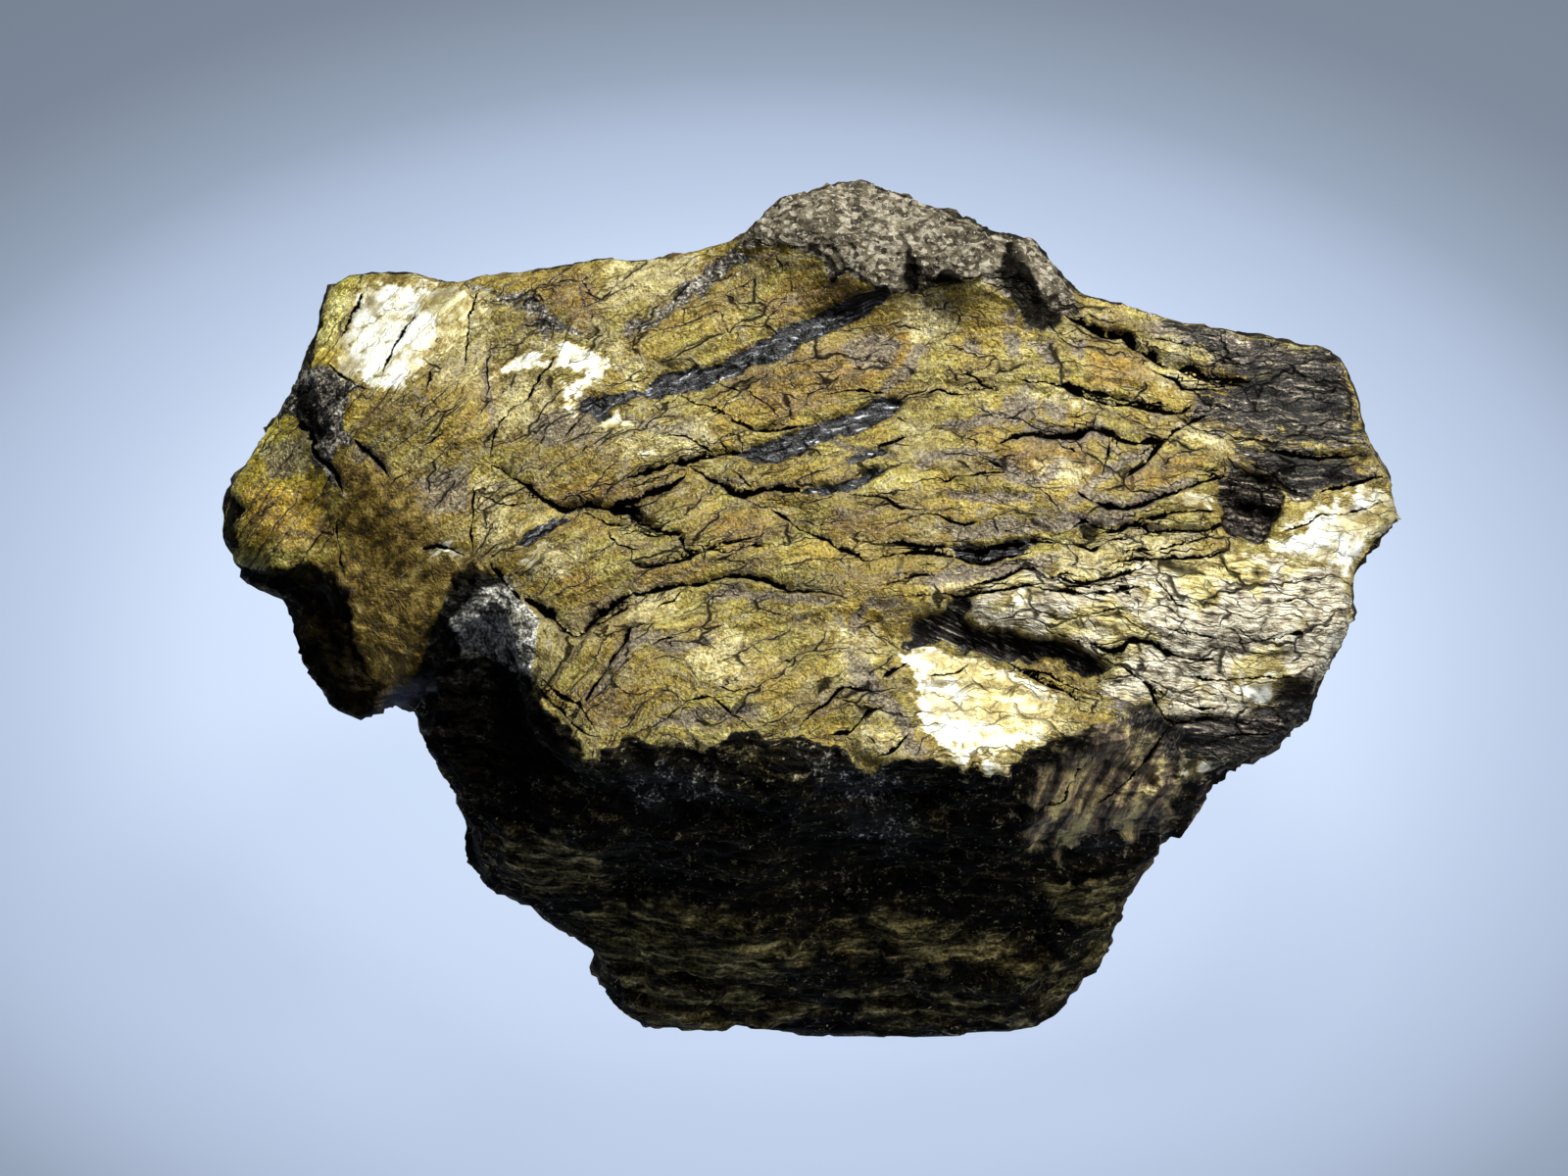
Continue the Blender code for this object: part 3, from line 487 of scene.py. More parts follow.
crack_depth, crack_lip, crack_side, crack_width = cut_cracks()
crack_near = (1 - ease(np.abs(crack_side), 0.7, CRACK_REACH - 0.05)) * front
relief += front * (crack_lip - crack_depth)

# The lenses and the deep gaps of the sheet
# Long lenses of silvery-black, fibrous mineral lie in the sheet a little below its gold, and at
# the front right a deep gap opens under the laminae, over a bright pocket.

LENS = [
    [(-12.9, 17.4), (-11.5, 18.4), (-9.6, 19.4), (-7.5, 20), (-6.6, 18.8), (-8.3, 17.6),
     (-10, 17), (-11.7, 16.7)],
    [(-18.4, 16), (-17.2, 16.9), (-15.6, 17.2), (-13.5, 17.6), (-11.7, 17.5), (-10.3, 18.1),
     (-9.9, 19.1), (-8.7, 19.1), (-7.4, 19.5), (-5.2, 20.4), (-3.5, 21.2), (-2.2, 22),
     (-0.9, 22.6), (0, 23.4), (1.3, 23.8), (2.6, 24.3), (4.3, 24.9), (5.9, 25.7), (7.4, 26.2),
     (8.7, 26.8), (9.7, 26.1), (9, 25), (7.6, 24.5), (6.1, 23.7), (4.5, 23.1), (3, 22.3),
     (1.7, 21.7), (0, 20.7), (-1.7, 20), (-3.5, 19.4), (-4.8, 18.8), (-6.3, 18.2), (-7.4, 17.4),
     (-8.4, 17.6), (-9.6, 17.7), (-11.3, 17.4), (-13, 16.9), (-14.3, 16.5), (-15.6, 16),
     (-16.9, 15.6)],
    [(-4.6, 12), (-3, 12.6), (-1.3, 13), (0.4, 13.8), (2.2, 14.4), (4.3, 15.2), (6.1, 15.6),
     (7.8, 16.7), (9.7, 16.9), (10.6, 16.3), (9.1, 15.2), (7.6, 14.5), (6.1, 13.9), (4.3, 13.2),
     (2.6, 12.5), (1, 11.6), (-0.4, 11.3), (-2.2, 11.3), (-3.5, 11.5)],
    [(5.2, 11.5), (7, 12.3), (8.7, 12.6), (9.2, 12.1), (7.8, 11.5), (6.3, 11.1)],
    [(1.3, 8.3), (2.6, 9), (4.5, 9.2), (6.1, 10), (7.8, 10.5), (9.1, 10.6), (8.7, 9.9), (7, 9.5),
     (5.6, 8.7), (3.5, 8.3)],
    [(-24.2, 4.2), (-23.5, 4.3), (-23.2, 5), (-21.9, 5.8), (-20.7, 6.3), (-19.6, 6.3),
     (-19.1, 5.9), (-20, 5.2), (-21.3, 4.6), (-22.6, 3.9), (-23.6, 3.6)],
    [(-17, 15.6), (-15.8, 16), (-15.5, 15.3), (-16.5, 14.7)],
    [(14.6, 3.5), (16.1, 4.3), (18.2, 3.8), (20.9, 4.6), (22.6, 4.1), (20.9, 3.3), (17.8, 2.3),
     (16.1, 2.5)],
]
POCKET = [
    [(10.4, -5.4), (11.3, -4.3), (11.7, -3.5), (12.6, -2.8), (13.9, -2.2), (14.6, -1.3),
     (15.2, -0.7), (16.5, -1), (16.1, -2.6), (16.9, -3.5), (18.2, -4.2), (20.4, -4.5),
     (22.6, -4.8), (24.8, -5.2), (26.9, -5.9), (28.7, -7.2), (27.8, -8), (26.1, -7.8), (24.3, -7),
     (22.2, -6.5), (20, -6.1), (17.8, -5.9), (16.1, -5.6), (14.8, -4.8), (13.5, -4.5),
     (12.2, -4.8)],
    [(11.1, -3.5), (12.2, -2.8), (13.9, -3.5), (15.2, -4.3), (13.9, -4.5), (12.2, -4.3)],
]
SIDE_HOLE = [
    [(38.8, 9.4), (40.1, 10.3), (42.1, 9.6), (43.9, 7.8), (43.5, 5.6), (41.7, 4.3), (39.8, 5.2),
     (38.8, 7.4)],
]
BACK_BANDS = [
    [(-27.4, 26.9), (-25.6, 26.4), (-23.9, 25.8), (-21.9, 26.1), (-20.9, 24.8), (-19.6, 23.9),
     (-17.6, 23), (-18.2, 22.6), (-20, 23), (-20.9, 22.2), (-21.6, 22.6), (-22.2, 24.3),
     (-23.9, 24.8), (-25.6, 25.6), (-26.9, 26.2)],
    [(-14.8, 23), (-12.6, 24.2), (-10.4, 25), (-9.1, 26.8), (-7.6, 28), (-6.5, 29.4), (-4.3, 30),
     (-2.2, 29.4), (-3.5, 28.2), (-5.4, 27.5), (-7.4, 26.1), (-8.7, 25), (-10.4, 23.9),
     (-12.6, 22.9), (-14.3, 22.4)],
]
LENS_DEPTH = 0.45
POCKET_DEPTH = 0.8
HOLE_DEPTH = 0.5
BAND_DEPTH = 0.35
lens = area_weight(LENS, 0.18, 0.45) * front
pocket = area_weight(POCKET, 0.45, 0.7) * front
side_hole = area_weight(SIDE_HOLE, 0.5) * front
back_bands = area_weight(BACK_BANDS, 0.5, 0.9) * front
hollows = LENS_DEPTH * lens * (1 + 0.6 * grit) + POCKET_DEPTH * pocket
relief -= hollows + HOLE_DEPTH * side_hole + BAND_DEPTH * back_bands

# The bright cleavage faces
# Where the mineral has split clean it is glossy; its pale cream is a painted highlight. These
# faces are smoother than the sheet around them, and lie a little lower.

BRIGHT = [
    [(-37.7, 26.4), (-36.5, 26.9), (-34.8, 27.1), (-32.6, 26.9), (-30.4, 27.1), (-28, 26.4),
     (-26.5, 25.6), (-27.5, 23.9), (-28.2, 22.2), (-29.4, 21.2), (-30.8, 21.7), (-32, 19.8),
     (-33.7, 18.1), (-34.9, 18.1), (-35.8, 17.4), (-36.9, 17.5), (-39.1, 19.3), (-40.4, 20.3),
     (-39.5, 22.2), (-38.9, 23.9), (-38.4, 23.9), (-38.6, 25)],
    [(-25.7, 19.6), (-23.5, 20.7), (-20.9, 21), (-19.6, 21.7), (-17.4, 21.6), (-15.5, 20.9),
     (-15.2, 19.5), (-16.3, 18.1), (-17.7, 17.6), (-18.2, 16.5), (-19.3, 15.8), (-19.5, 17.6),
     (-18.2, 18.7), (-19.1, 19.6), (-20.9, 19.6), (-22.6, 19.1), (-24.8, 18.9)],
    [(-14.8, 13.9), (-13.9, 14.8), (-15.5, 15.8), (-16.3, 14.9), (-15.8, 13.5)],
    [(-13, 12.9), (-11.5, 13.2), (-11.1, 12.3), (-12.3, 11.5), (-13.4, 12)],
    [(10.3, -5.6), (12.6, -5.2), (16.1, -5.9), (18.2, -6.3), (20, -7), (22.6, -8.7),
     (24.8, -11.3), (24.3, -12.9), (21.7, -13.7), (18.7, -14.1), (16.1, -15.5), (14.3, -14.8),
     (13, -12.6), (12.2, -11.1), (11.5, -10.3), (12.6, -8.7), (11.3, -7.8)],
    [(9.1, -16.5), (10.9, -15.5), (13, -14.8), (13.9, -15.2), (12.2, -16.1), (10.3, -16.9)],
    [(34.8, 8.4), (37.4, 8), (38.7, 8.4), (38.4, 7.1), (36.9, 6.6), (35.2, 6.7), (34.5, 7.6)],
    [(40.1, -7.8), (42.1, -7), (43.9, -7.8), (43.5, -10), (41.3, -10.3), (40.1, -9.4)],
    [(44.3, 5.8), (47.4, 7.6), (52.1, 8.9), (53.4, 8.3), (54.3, 7.4), (54.9, 6.3), (54.3, 5.4),
     (52.1, 4.5), (51.3, 3), (50, 0.4), (49.4, 2.2), (46.1, 3), (43.5, 3.3), (42.6, 3.9),
     (43.5, 4.8), (46.1, 5.2)],
    [(17.4, -14.6), (19.1, -15.2), (20.4, -16.1), (19.1, -16.5), (17.4, -15.8)],
    [(35.6, -14.8), (36.9, -15.2), (37.8, -16.3), (36.7, -16.9), (35.6, -16.1)],
    [(-22.6, 3.5), (-21, 3.9), (-19.8, 3.3), (-20.9, 2.4), (-22.6, 1.9), (-23.5, 2.4)],
    [(-32.2, 3.6), (-30, 3.8), (-28.2, 2.9), (-27.6, 2.2), (-29.5, 2.6)],
    [(31.8, 0.9), (33, 0.7), (33.5, -0.3), (32.3, -1), (31.6, -0.3)],
    [(19.1, -0.9), (20.9, 0), (22.2, -0.9), (20.9, -1.7)],
]
FACE_SMOOTH = 0.45
FACE_DROP = 0.10
bright = area_weight(BRIGHT, 1.3, 1.1) * front * level
relief *= 1 - FACE_SMOOTH * bright * (1 - crack_near)
relief += FACE_DROP * bright * (0.3 * lumps - 0.2)

# The stains of the sheet
# The gold is ochre and brown in some places, pale yellow in others, and purple-grey in patches
# and in bands that braid along the flow, where the edges of the laminae show. Around the cleavage
# faces the pale yellow is partly a painted highlight, spread from them.

OCHRE = [
    [(-4.8, 18.7), (0, 19.8), (5.2, 21.7), (9.1, 23.5), (11.3, 22.6), (10.9, 20), (7, 17.6),
     (2.6, 16.3), (0, 14.9), (-3, 16.5)],
    [(-2.6, 25.6), (0, 27.3), (4.3, 27.5), (6.3, 26.2), (3, 24.8), (-0.9, 23.3)],
    [(-20.9, 9.4), (-15.6, 9.7), (-9.6, 8.9), (-13.9, 7), (-20, 7.4)],
    [(18.7, 13.2), (26.9, 13.3), (28.5, 10.4), (22.8, 9.4), (18.9, 11.1)],
    [(-47.8, 8.7), (-40.8, 9.1), (-39.5, 5.2), (-43.5, 3.5), (-48.2, 4.2)],
    [(-22.6, 27.4), (-17.4, 28), (-15.8, 24.5), (-18.2, 23), (-20.9, 25.6)],
    [(-20.9, 2.2), (-17.4, 1.7), (-16.3, -0.5), (-19.8, -0.2)],
    [(-12.9, 1.9), (-5, 2.4), (-8.7, 0.5), (-13.5, 0.2)],
    [(27.4, 20.7), (31.3, 21.3), (32.2, 19.1), (29.1, 17.4), (26.9, 18.2)],
    [(28.7, 8.7), (31.3, 10.9), (37.8, 12.2), (37.4, 10.4), (31.3, 8.7)],
    [(-7, 6.3), (-2.2, 7), (-1.7, 3.5), (-5.2, 3)],
    [(42.6, 2.6), (46.9, 2.2), (46.5, 0), (43.5, 0.9)],
    [(-18.2, -8.7), (-12.2, -8.7), (-13, -12.2), (-17.4, -11.7)],
    [(1.3, 22.2), (3.5, 23), (4.3, 21.7), (1.7, 20.9)],
    [(23.9, 25.6), (25.6, 25.8), (25.9, 24.8), (24.2, 24.8)],
    [(5.2, 7), (11.3, 5.6), (8.7, 4.2), (3.5, 5.2)],
    [(30.2, -5.4), (34.8, -6.3), (40.1, -5.9), (40.1, -8.5), (36.9, -7.8), (31.3, -6.8)],
    [(47.4, 11.5), (51.4, 11.1), (51.3, 9.7), (47.4, 10.1)],
]
# Pale yellow patches; those around the cleavage faces carry part of their painted highlight.
PALE = [
    [(-25.6, 17.2), (-20.9, 15.2), (-18.2, 14.6), (-13.9, 12.9), (-18.2, 13.2), (-24.3, 13.5),
     (-26.1, 15.2)],
    [(-24.8, 22.2), (-17.4, 23.5), (-13, 20.7), (-12.6, 17.4), (-13.9, 18.7), (-17.4, 22.4),
     (-22.6, 21.7)],
    [(14.3, -5.9), (17.4, -6.3), (20.4, -7.8), (22.8, -9.7), (24.3, -11.7), (22.6, -12.6),
     (20, -13.2), (17.8, -12.2), (16.5, -10.4), (16.1, -9.1), (14.6, -8.5), (13, -7.8)],
    [(-32.2, 26.1), (-26.1, 26.4), (-26.9, 21.7), (-30.8, 21.6)],
    [(-41.3, 26.1), (-37.8, 26.2), (-39.1, 19.8), (-41.3, 21.7)],
    [(-25.6, 18.7), (-20.9, 18.1), (-20.4, 15.6), (-24.8, 16.5)],
    [(-17.4, 14.8), (-7, 14.9), (-6.1, 11.5), (-16.3, 12.6)],
    [(-15.6, 28.9), (-7.6, 29.7), (-8.5, 26.2), (-16.3, 25.4)],
    [(10, 25.6), (14.1, 26.1), (15.5, 23.2), (11.7, 21.9)],
    [(-27.3, 9.9), (-24.5, 10.3), (-24, 3.5), (-26.9, 3.2)],
    [(28.7, 4.8), (37.4, 5.2), (36.1, 3.3), (27.6, 2.6)],
    [(23.9, 3.2), (33.9, 2.6), (32.2, 1), (24.8, 1)],
    [(-22.2, 3.5), (-18.2, 3.5), (-19.8, 1), (-22.1, 0.9)],
    [(13, 0.7), (22.6, 2.4), (22.8, 0.2), (13.5, -0.2)],
    [(33, 22.4), (39.5, 21.7), (40, 19.8), (33.9, 20.7)],
    [(33, 19.3), (38.2, 18.9), (38.2, 17.8), (33.5, 18.1)],
    [(21.7, 17.4), (28.7, 17.2), (27.8, 16.3), (21.7, 16.5)],
    [(34.8, 14.8), (39.1, 13.9), (38.2, 12.6), (35.2, 13)],
    [(4.3, -3.5), (8.3, -3.5), (7.6, -7.8), (5.4, -7.8)],
    [(-8.7, -4.3), (-3.5, -3.5), (-2.6, -7.8), (-7.8, -8.3)],
    [(1.7, 22.2), (4.3, 23.5), (3.9, 21.7), (2.2, 20.9)],
    [(-13.9, 0), (-10.4, 0.2), (-9.6, -1.7), (-13, -3.5)],
    [(-31.3, 22.2), (-26.1, 21.6), (-26.8, 18.2), (-30.4, 17.8)],
    [(7, -12.2), (11.3, -12.6), (10.4, -14.8), (7.4, -14.3)],
    [(16.1, -7.8), (20.9, -8.7), (25.4, -11.1), (25.2, -13), (19.1, -12.6), (16.3, -10.6)],
    [(12.2, -5.9), (14.9, -6.3), (16.1, -8.7), (13.5, -7.8)],
    [(50, 7), (54.6, 7.4), (54.9, 6.1), (52.1, 4.8), (49.7, 5.2)],
    [(9.1, -15.2), (12.6, -15.6), (10.9, -16.9), (9.1, -16.7)],
    [(-33.5, 21.7), (-28.7, 22.2), (-30, 20.9), (-32.2, 19.8)],
    [(-31.3, 25.2), (-27.1, 24.8), (-28.2, 22.2), (-31.3, 22.2)],
    [(22.6, 11.3), (26.9, 10.9), (26.1, 9.1), (22.8, 9.4)],
    [(11.3, 33.5), (17.4, 32.3), (18.2, 28.2), (12.2, 27.1)],
]
PURPLE = [
    [(5, 21.6), (8.7, 23), (10.3, 21.7), (9.1, 19.4), (6.1, 19.6)],
    [(18.9, 16.9), (22.8, 16.7), (22.4, 14.8), (19.8, 14.6)],
    [(23.1, 16.5), (25.4, 16.3), (24.8, 14.6), (23.1, 14.9)],
    [(22.4, 21.7), (24.2, 21.9), (24, 20), (22.6, 19.8)],
    [(19.8, 22.6), (21.4, 22.8), (21.2, 20.4), (20, 20.7)],
    [(16.1, 22.2), (17.6, 22.3), (17.4, 20.4), (16.2, 20.7)],
    [(19.3, 24.8), (21, 24.8), (20.9, 23), (19.6, 23.1)],
    [(25.2, 21.7), (26.8, 21.7), (26.6, 20.5), (25.4, 20.7)],
    [(-22.6, 15.2), (-17.4, 17.1), (-15.8, 15.6), (-20.7, 12.3)],
    [(-31.3, 10.3), (-27.8, 10.8), (-28.3, 7), (-32.6, 6.7), (-34.6, 8.2)],
    [(-46.5, 13), (-42.6, 13.5), (-41.9, 10), (-45.6, 9.7)],
    [(33.5, 23), (37.8, 22.6), (39.1, 21.6), (33.9, 22.2)],
    [(22.6, 15.2), (23.9, 13.9), (21.7, 13.5)],
    [(0, 21.7), (1.3, 22.2), (1, 20), (-0.2, 20.2)],
    [(-38.2, 4.8), (-34.8, 5.2), (-35.2, 0.9), (-39.1, 1.7)],
]
BANDS = [
    (0.43, [(12.6, 22.2), (11.3, 20), (10, 18.2), (8.3, 17.4)]),
    (0.35, [(17.4, 12), (19.1, 10.9), (21.3, 9.7), (23.9, 10), (25, 11.1)]),
    (0.35, [(20, 13.5), (22.6, 13.9), (25.2, 13.5), (27.8, 13.9), (29.5, 12.6)]),
    (0.39, [(23.5, 6.1), (24.8, 7.6), (26.9, 8.7), (28.7, 7.6), (31.3, 7.3), (33.9, 8.7),
     (38.2, 9.7)]),
    (0.39, [(33, 7), (29.5, 6.5), (22.6, 5.8), (17.4, 5.1), (11.3, 5.5)]),
    (0.35, [(10.9, 0), (13.9, 0.9), (17.4, 1.7), (21.7, 2.2), (26.1, 3)]),
    (0.48, [(5.9, -3.9), (6.6, -7), (8.3, -9.1), (10, -11.3), (11.3, -13.9), (13.5, -15.6)]),
    (0.35, [(10.9, -1.6), (7.8, -0.9), (5.9, -3.9)]),
    (0.39, [(-12.2, -12.3), (-8.7, -11.7), (-3.5, -10.6), (-0.9, -12)]),
    (0.35, [(-20.9, 11.3), (-17.4, 13.9), (-13.9, 15.2), (-9.6, 13.9), (-7, 12.6)]),
    (0.35, [(-22.2, 12.6), (-20.9, 14.8), (-18.2, 16.5)]),
    (0.26, [(-26.1, 21.7), (-26.5, 17.4), (-25.6, 13.9)]),
    (0.3, [(-13.9, -3.5), (-9.6, -4.8), (-5.2, -4.3)]),
    (0.35, [(19.1, -0.9), (22.6, -1.7), (26.1, -3.5), (30.4, -4.3)]),
    (0.3, [(13.9, 8.7), (18.2, 8), (22.6, 8.3)]),
    (0.39, [(-17.4, -10.4), (-16.1, -7.8), (-13.9, -4.8), (-12.2, -3)]),
    (0.43, [(30.4, 23.9), (33, 23), (38.2, 22.2), (43.5, 20.9), (48.7, 20)]),
    (0.39, [(33, 13.5), (30.4, 11.5), (27.8, 9.6), (25.6, 8.7)]),
    (0.3, [(11.3, 11.3), (13.9, 12), (17.4, 12)]),
    (0.3, [(-8.7, -0.9), (-3.5, -0.4), (1.7, -1), (6.1, -0.9)]),
    (0.3, [(-0.9, 13.9), (4.3, 13), (8.7, 12), (11.3, 11.3)]),
    (0.39, [(-38.7, 13), (-36.5, 11.3), (-34.8, 8.7), (-33, 7)]),
    (0.26, [(13.9, 13.9), (17.4, 14.8), (20, 15.2)]),
]
# Places in shade under overhangs, in hollows and on undersides, painted near-black: painted
# shadow.
SHADOWED_PLACES = [
    [(-49.4, 1.6), (-46.5, 1.9), (-41.7, 2.1), (-39.5, 0.7), (-38.4, 0), (-38.5, -3.5),
     (-38.1, -5.6), (-36.5, -7.8), (-34.8, -8.7), (-36.1, -9.7), (-37.4, -11.7), (-40, -10.4),
     (-41.9, -7.8), (-43.1, -4.3), (-42.9, -1.7), (-43.9, -0.7), (-48.7, -0.4)],
    [(-33, -7.8), (-31.3, -5.2), (-30, -2.6), (-29.4, 0.9), (-27.8, 2.4), (-25.6, 1.3),
     (-24.3, 0), (-26.9, 0), (-28.7, -1.7), (-29.5, -3.5), (-28.2, -5.6), (-22.2, -7.8),
     (-20.9, -11.3), (-17.4, -15.2), (-20.9, -16.5), (-28.7, -17.4), (-31.3, -13.9), (-31.8, -10)],
    [(-50.2, 6.8), (-49.1, 8.5), (-47.8, 7.6), (-48.5, 5.2), (-49, 3), (-50, 3.5)],
    [(26.5, 6.1), (28.2, 5.6), (27.8, 4.2), (26.2, 4.3)],
    [(38.7, 9.6), (43.5, 10), (44.5, 7), (42.6, 4.3), (39.1, 4.8)],
    [(-43.5, 17.8), (-41.9, 17.4), (-40.8, 13.9), (-41.5, 12.9), (-43, 15.2)],
    [(19.6, 30.8), (21.3, 29.4), (22.8, 26.1), (24.8, 23.5), (22.6, 22.4), (20.4, 25),
     (19.3, 27.8)],
    [(10.9, 30.4), (12.2, 29.4), (11.7, 26.1), (10.6, 26.9)],
]
BAND_GROOVE = 0.12
ochre = area_weight(OCHRE, 1.2, 0.9) * front
pale = area_weight(PALE, 1.1, 0.9) * front
purple = area_weight(PURPLE, 0.7, 0.6) * front
for half_width, path in BANDS:
    nearest, _, along, length = beside_path(path, 0.7)
    taper = ease(np.minimum(along, length - along), -1.0, 0.25 * length)
    band = front * taper * (1 - ease(nearest, 0.6 * half_width, 2.6 * half_width))
    purple = np.maximum(purple, band)
relief -= BAND_GROOVE * purple
shadowed = area_weight(SHADOWED_PLACES, 0.5, 0.6) * front
# The hole in the side gets some painted shadow as well.
shadowed = np.maximum(shadowed, 0.45 * side_hole)

# The granular matrix and the other rock of the front
# A lump of grey-brown granular rock sits on the back edge. Dark, crushed rock lies at the right
# end, in the gap on the left and beside the lobe; the shoulder shows the laminae on edge.

MATRIX = [
    [(-4.2, 30.4), (-3.5, 31.7), (-2.2, 33.2), (-0.7, 34.9), (1.3, 35.6), (3.9, 35.8),
     (5.6, 36.7), (7.8, 36.3), (10, 35.6), (12.6, 34.3), (16.1, 33.5), (17.8, 31.5), (20.9, 31.3),
     (22.8, 30.4), (23.9, 28.2), (25.7, 26.1), (26.5, 24.3), (24.8, 24.2), (23, 22.4),
     (21.3, 23.9), (19.6, 26.1), (17.4, 27.5), (15.2, 28), (13, 27.1), (10.9, 26.8), (9.4, 26.1),
     (8.3, 26.9), (6.1, 27.4), (4.3, 26.9), (3, 29.4), (0, 30.2)],
]
DARK_END = [
    [(32.8, 24.5), (36.5, 23.6), (41.7, 22.4), (46.1, 21.7), (50, 20.7), (50.4, 17.8),
     (50.9, 15.2), (51.7, 12.3), (46.9, 12.5), (42.6, 12.9), (40.1, 13.9), (36.1, 14.9),
     (36.7, 16.9), (40, 17.4), (40.1, 19.1), (38.2, 19.8), (34.8, 22.6)],
]
LAMINATED = [
    [(27.8, -8.7), (30.4, -10.6), (34.8, -11.7), (40, -11.3), (46.5, -7.8), (47.4, -11.7),
     (45.2, -12.9), (42.6, -14.6), (39.1, -16.1), (36.1, -17.1), (33, -13.9), (30.4, -12.2)],
    [(39.5, 12.9), (46.1, 12.3), (52.1, 10.4), (53.2, 9.6), (47.8, 8.7), (45, 7.8), (43.9, 8.7),
     (41.7, 10.3)],
]
# A facet under the left lobe, painted slate blue: painted light reflected from the floor.
FLOOR_LIT_FACET = [
    [(-38.2, -11.6), (-36.1, -10), (-33.7, -8.4), (-31.3, -7.3), (-30.8, -8.7), (-32.2, -9.7),
     (-34.8, -10.6), (-36.9, -11.6)],
]
BRONZE = [
    [(-18.2, -28.7), (-10.4, -28.2), (0, -30.2), (3, -33.5), (-2.6, -34.9), (-12.2, -34.8),
     (-16.1, -33.5)],
    [(3.5, -30), (8.7, -29), (13.9, -30.4), (20.9, -31.7), (24.8, -33.5), (20.9, -34.8),
     (13.9, -33.7), (5.2, -32.8)],
    [(-13.9, -35.2), (-1.7, -35.8), (3.5, -37.8), (-8.7, -38.9), (-11.7, -38.6)],
    [(22.6, -26.5), (33, -25.2), (30.4, -31.3), (24.8, -29.1)],
    [(-26.1, -21.7), (-17.4, -22.8), (-15.6, -26.5), (-22.6, -26.5)],
    [(4.3, -35.6), (17.4, -36.5), (19.1, -38.2), (8.7, -38.7)],
    [(25.2, -33.9), (28.2, -30.4), (28.7, -32.6), (22.6, -38.2), (19.1, -38.7)],
]
# Places of the broken rock with painted glints.
GLINT = [
    [(1.7, -15.6), (6.1, -14.8), (10.4, -17.4), (10, -22.6), (7, -21.7), (4.3, -18.2)],
    [(24.3, -17.4), (32.2, -16.5), (33, -21.7), (26.9, -23.5)],
    [(-13.9, -16.5), (-7, -16.1), (-5.2, -18.7), (-12.2, -19.1)],
    [(-32.2, -8.7), (-22.6, -7.8), (-20.9, -10.4), (-27.8, -13.9), (-31.7, -13.5)],
]
# The rock in the gap on the left: grey, painted brighter with white glints, as painted light.
GREY_GAP = [
    [(-30, 0), (-28.2, 1.7), (-25.6, 1.7), (-23.5, -0.7), (-21.6, -2.2), (-19.8, -3.6),
     (-20.9, -5.2), (-21.9, -6.5), (-22.6, -8.7), (-24.3, -9.1), (-28.7, -8.7), (-32.2, -8.7),
     (-31.3, -5.2), (-29.4, -2.6)],
]
STRIP = [
    [(-43, 19.3), (-41.7, 19.8), (-39.5, 19.1), (-37.4, 17.6), (-38.9, 16.9), (-39.5, 13.9),
     (-37.5, 13), (-39.5, 12.6), (-40.2, 11.1), (-38.9, 8.5), (-40.4, 9.6), (-41.5, 11.3),
     (-42.4, 13.9), (-43.5, 15.2), (-44.8, 15.2), (-44.3, 17.4)],
]
SHOULDER = [
    [(21.7, 2.2), (26.1, 0), (32.2, 2.2), (39.1, 3), (44.3, 3), (50, 1.7), (50.4, -1.7),
     (50.2, -3.9), (48.7, -7.4), (46.1, -10.4), (45.2, -12.6), (42.6, -13.2), (38.2, -16.5),
     (36.1, -16.9), (34.8, -14.8), (30.4, -12.2), (27.8, -8.7), (26.1, -5.2), (21.7, -4.5),
     (17.4, -3.5), (16.1, -1.3)],
]
SLAB = [
    [(21.7, -19.1), (24.3, -15.6), (27.8, -12.6), (31.3, -11.1), (34.3, -11.7), (34.3, -13.9),
     (36.1, -17.4), (33.9, -20.9), (31.7, -21.7), (27.8, -21.7), (24.3, -23.5), (21.7, -21.7)],
]
TOOTH = [
    [(-43, 0), (-41.7, 2.6), (-39.1, 3.5), (-34.8, 0), (-30, 2.6), (-28, 1.3), (-30, -0.9),
     (-31.3, -4.8), (-31.7, -8.7), (-34.8, -10), (-37.8, -11.7), (-40.4, -9.6), (-41.7, -7.8),
     (-43, -4.8)],
]
BROWN = [
    [(-38.9, 13), (-36.5, 11.3), (-35.1, 9.6), (-33, 8.7), (-31.7, 7), (-30.4, 4.8), (-27.8, 2.2),
     (-28.7, 0.9), (-31.3, 3.5), (-34.8, 0), (-39.1, 0), (-39.1, 3.5), (-39.5, 6.5), (-38.9, 8.7),
     (-40, 10.4)],
]
GRAIN_SIZE = 1.1
FINE_GRAIN_SIZE = 0.6
MATRIX_RISE = 0.55
CRUSHED_RISE = 0.5
SHOULDER_LAYER = 0.9
THIN_LAYER = 0.7
LAYER_RISE = 0.5
matrix = area_weight(MATRIX, 0.5, 0.8) * front
dark_end = area_weight(DARK_END, 2.0, 0.9) * front
laminated = area_weight(LAMINATED, 1.2, 0.9) * front
floor_lit_facet = area_weight(FLOOR_LIT_FACET, 0.4, 0.4)
bronze = area_weight(BRONZE, 1.6, 1.2) * front
glint = area_weight(GLINT, 2.2, 1.2) * front
grey_gap = area_weight(GREY_GAP, 0.6, 0.9) * front
strip = area_weight(STRIP, 0.4, 0.6) * front
shoulder = area_weight(SHOULDER, 1.0, 0.9) * front
slab = area_weight(SLAB, 1.4, 1.3) * front
tooth = area_weight(TOOTH, 0.8, 0.8) * front
brown = area_weight(BROWN, 1.2, 1.0) * front
crushed = np.maximum.reduce([grey_gap, strip, 0.8 * back_bands, 0.9 * side_hole])
in_layers = np.maximum(dark_end, laminated)


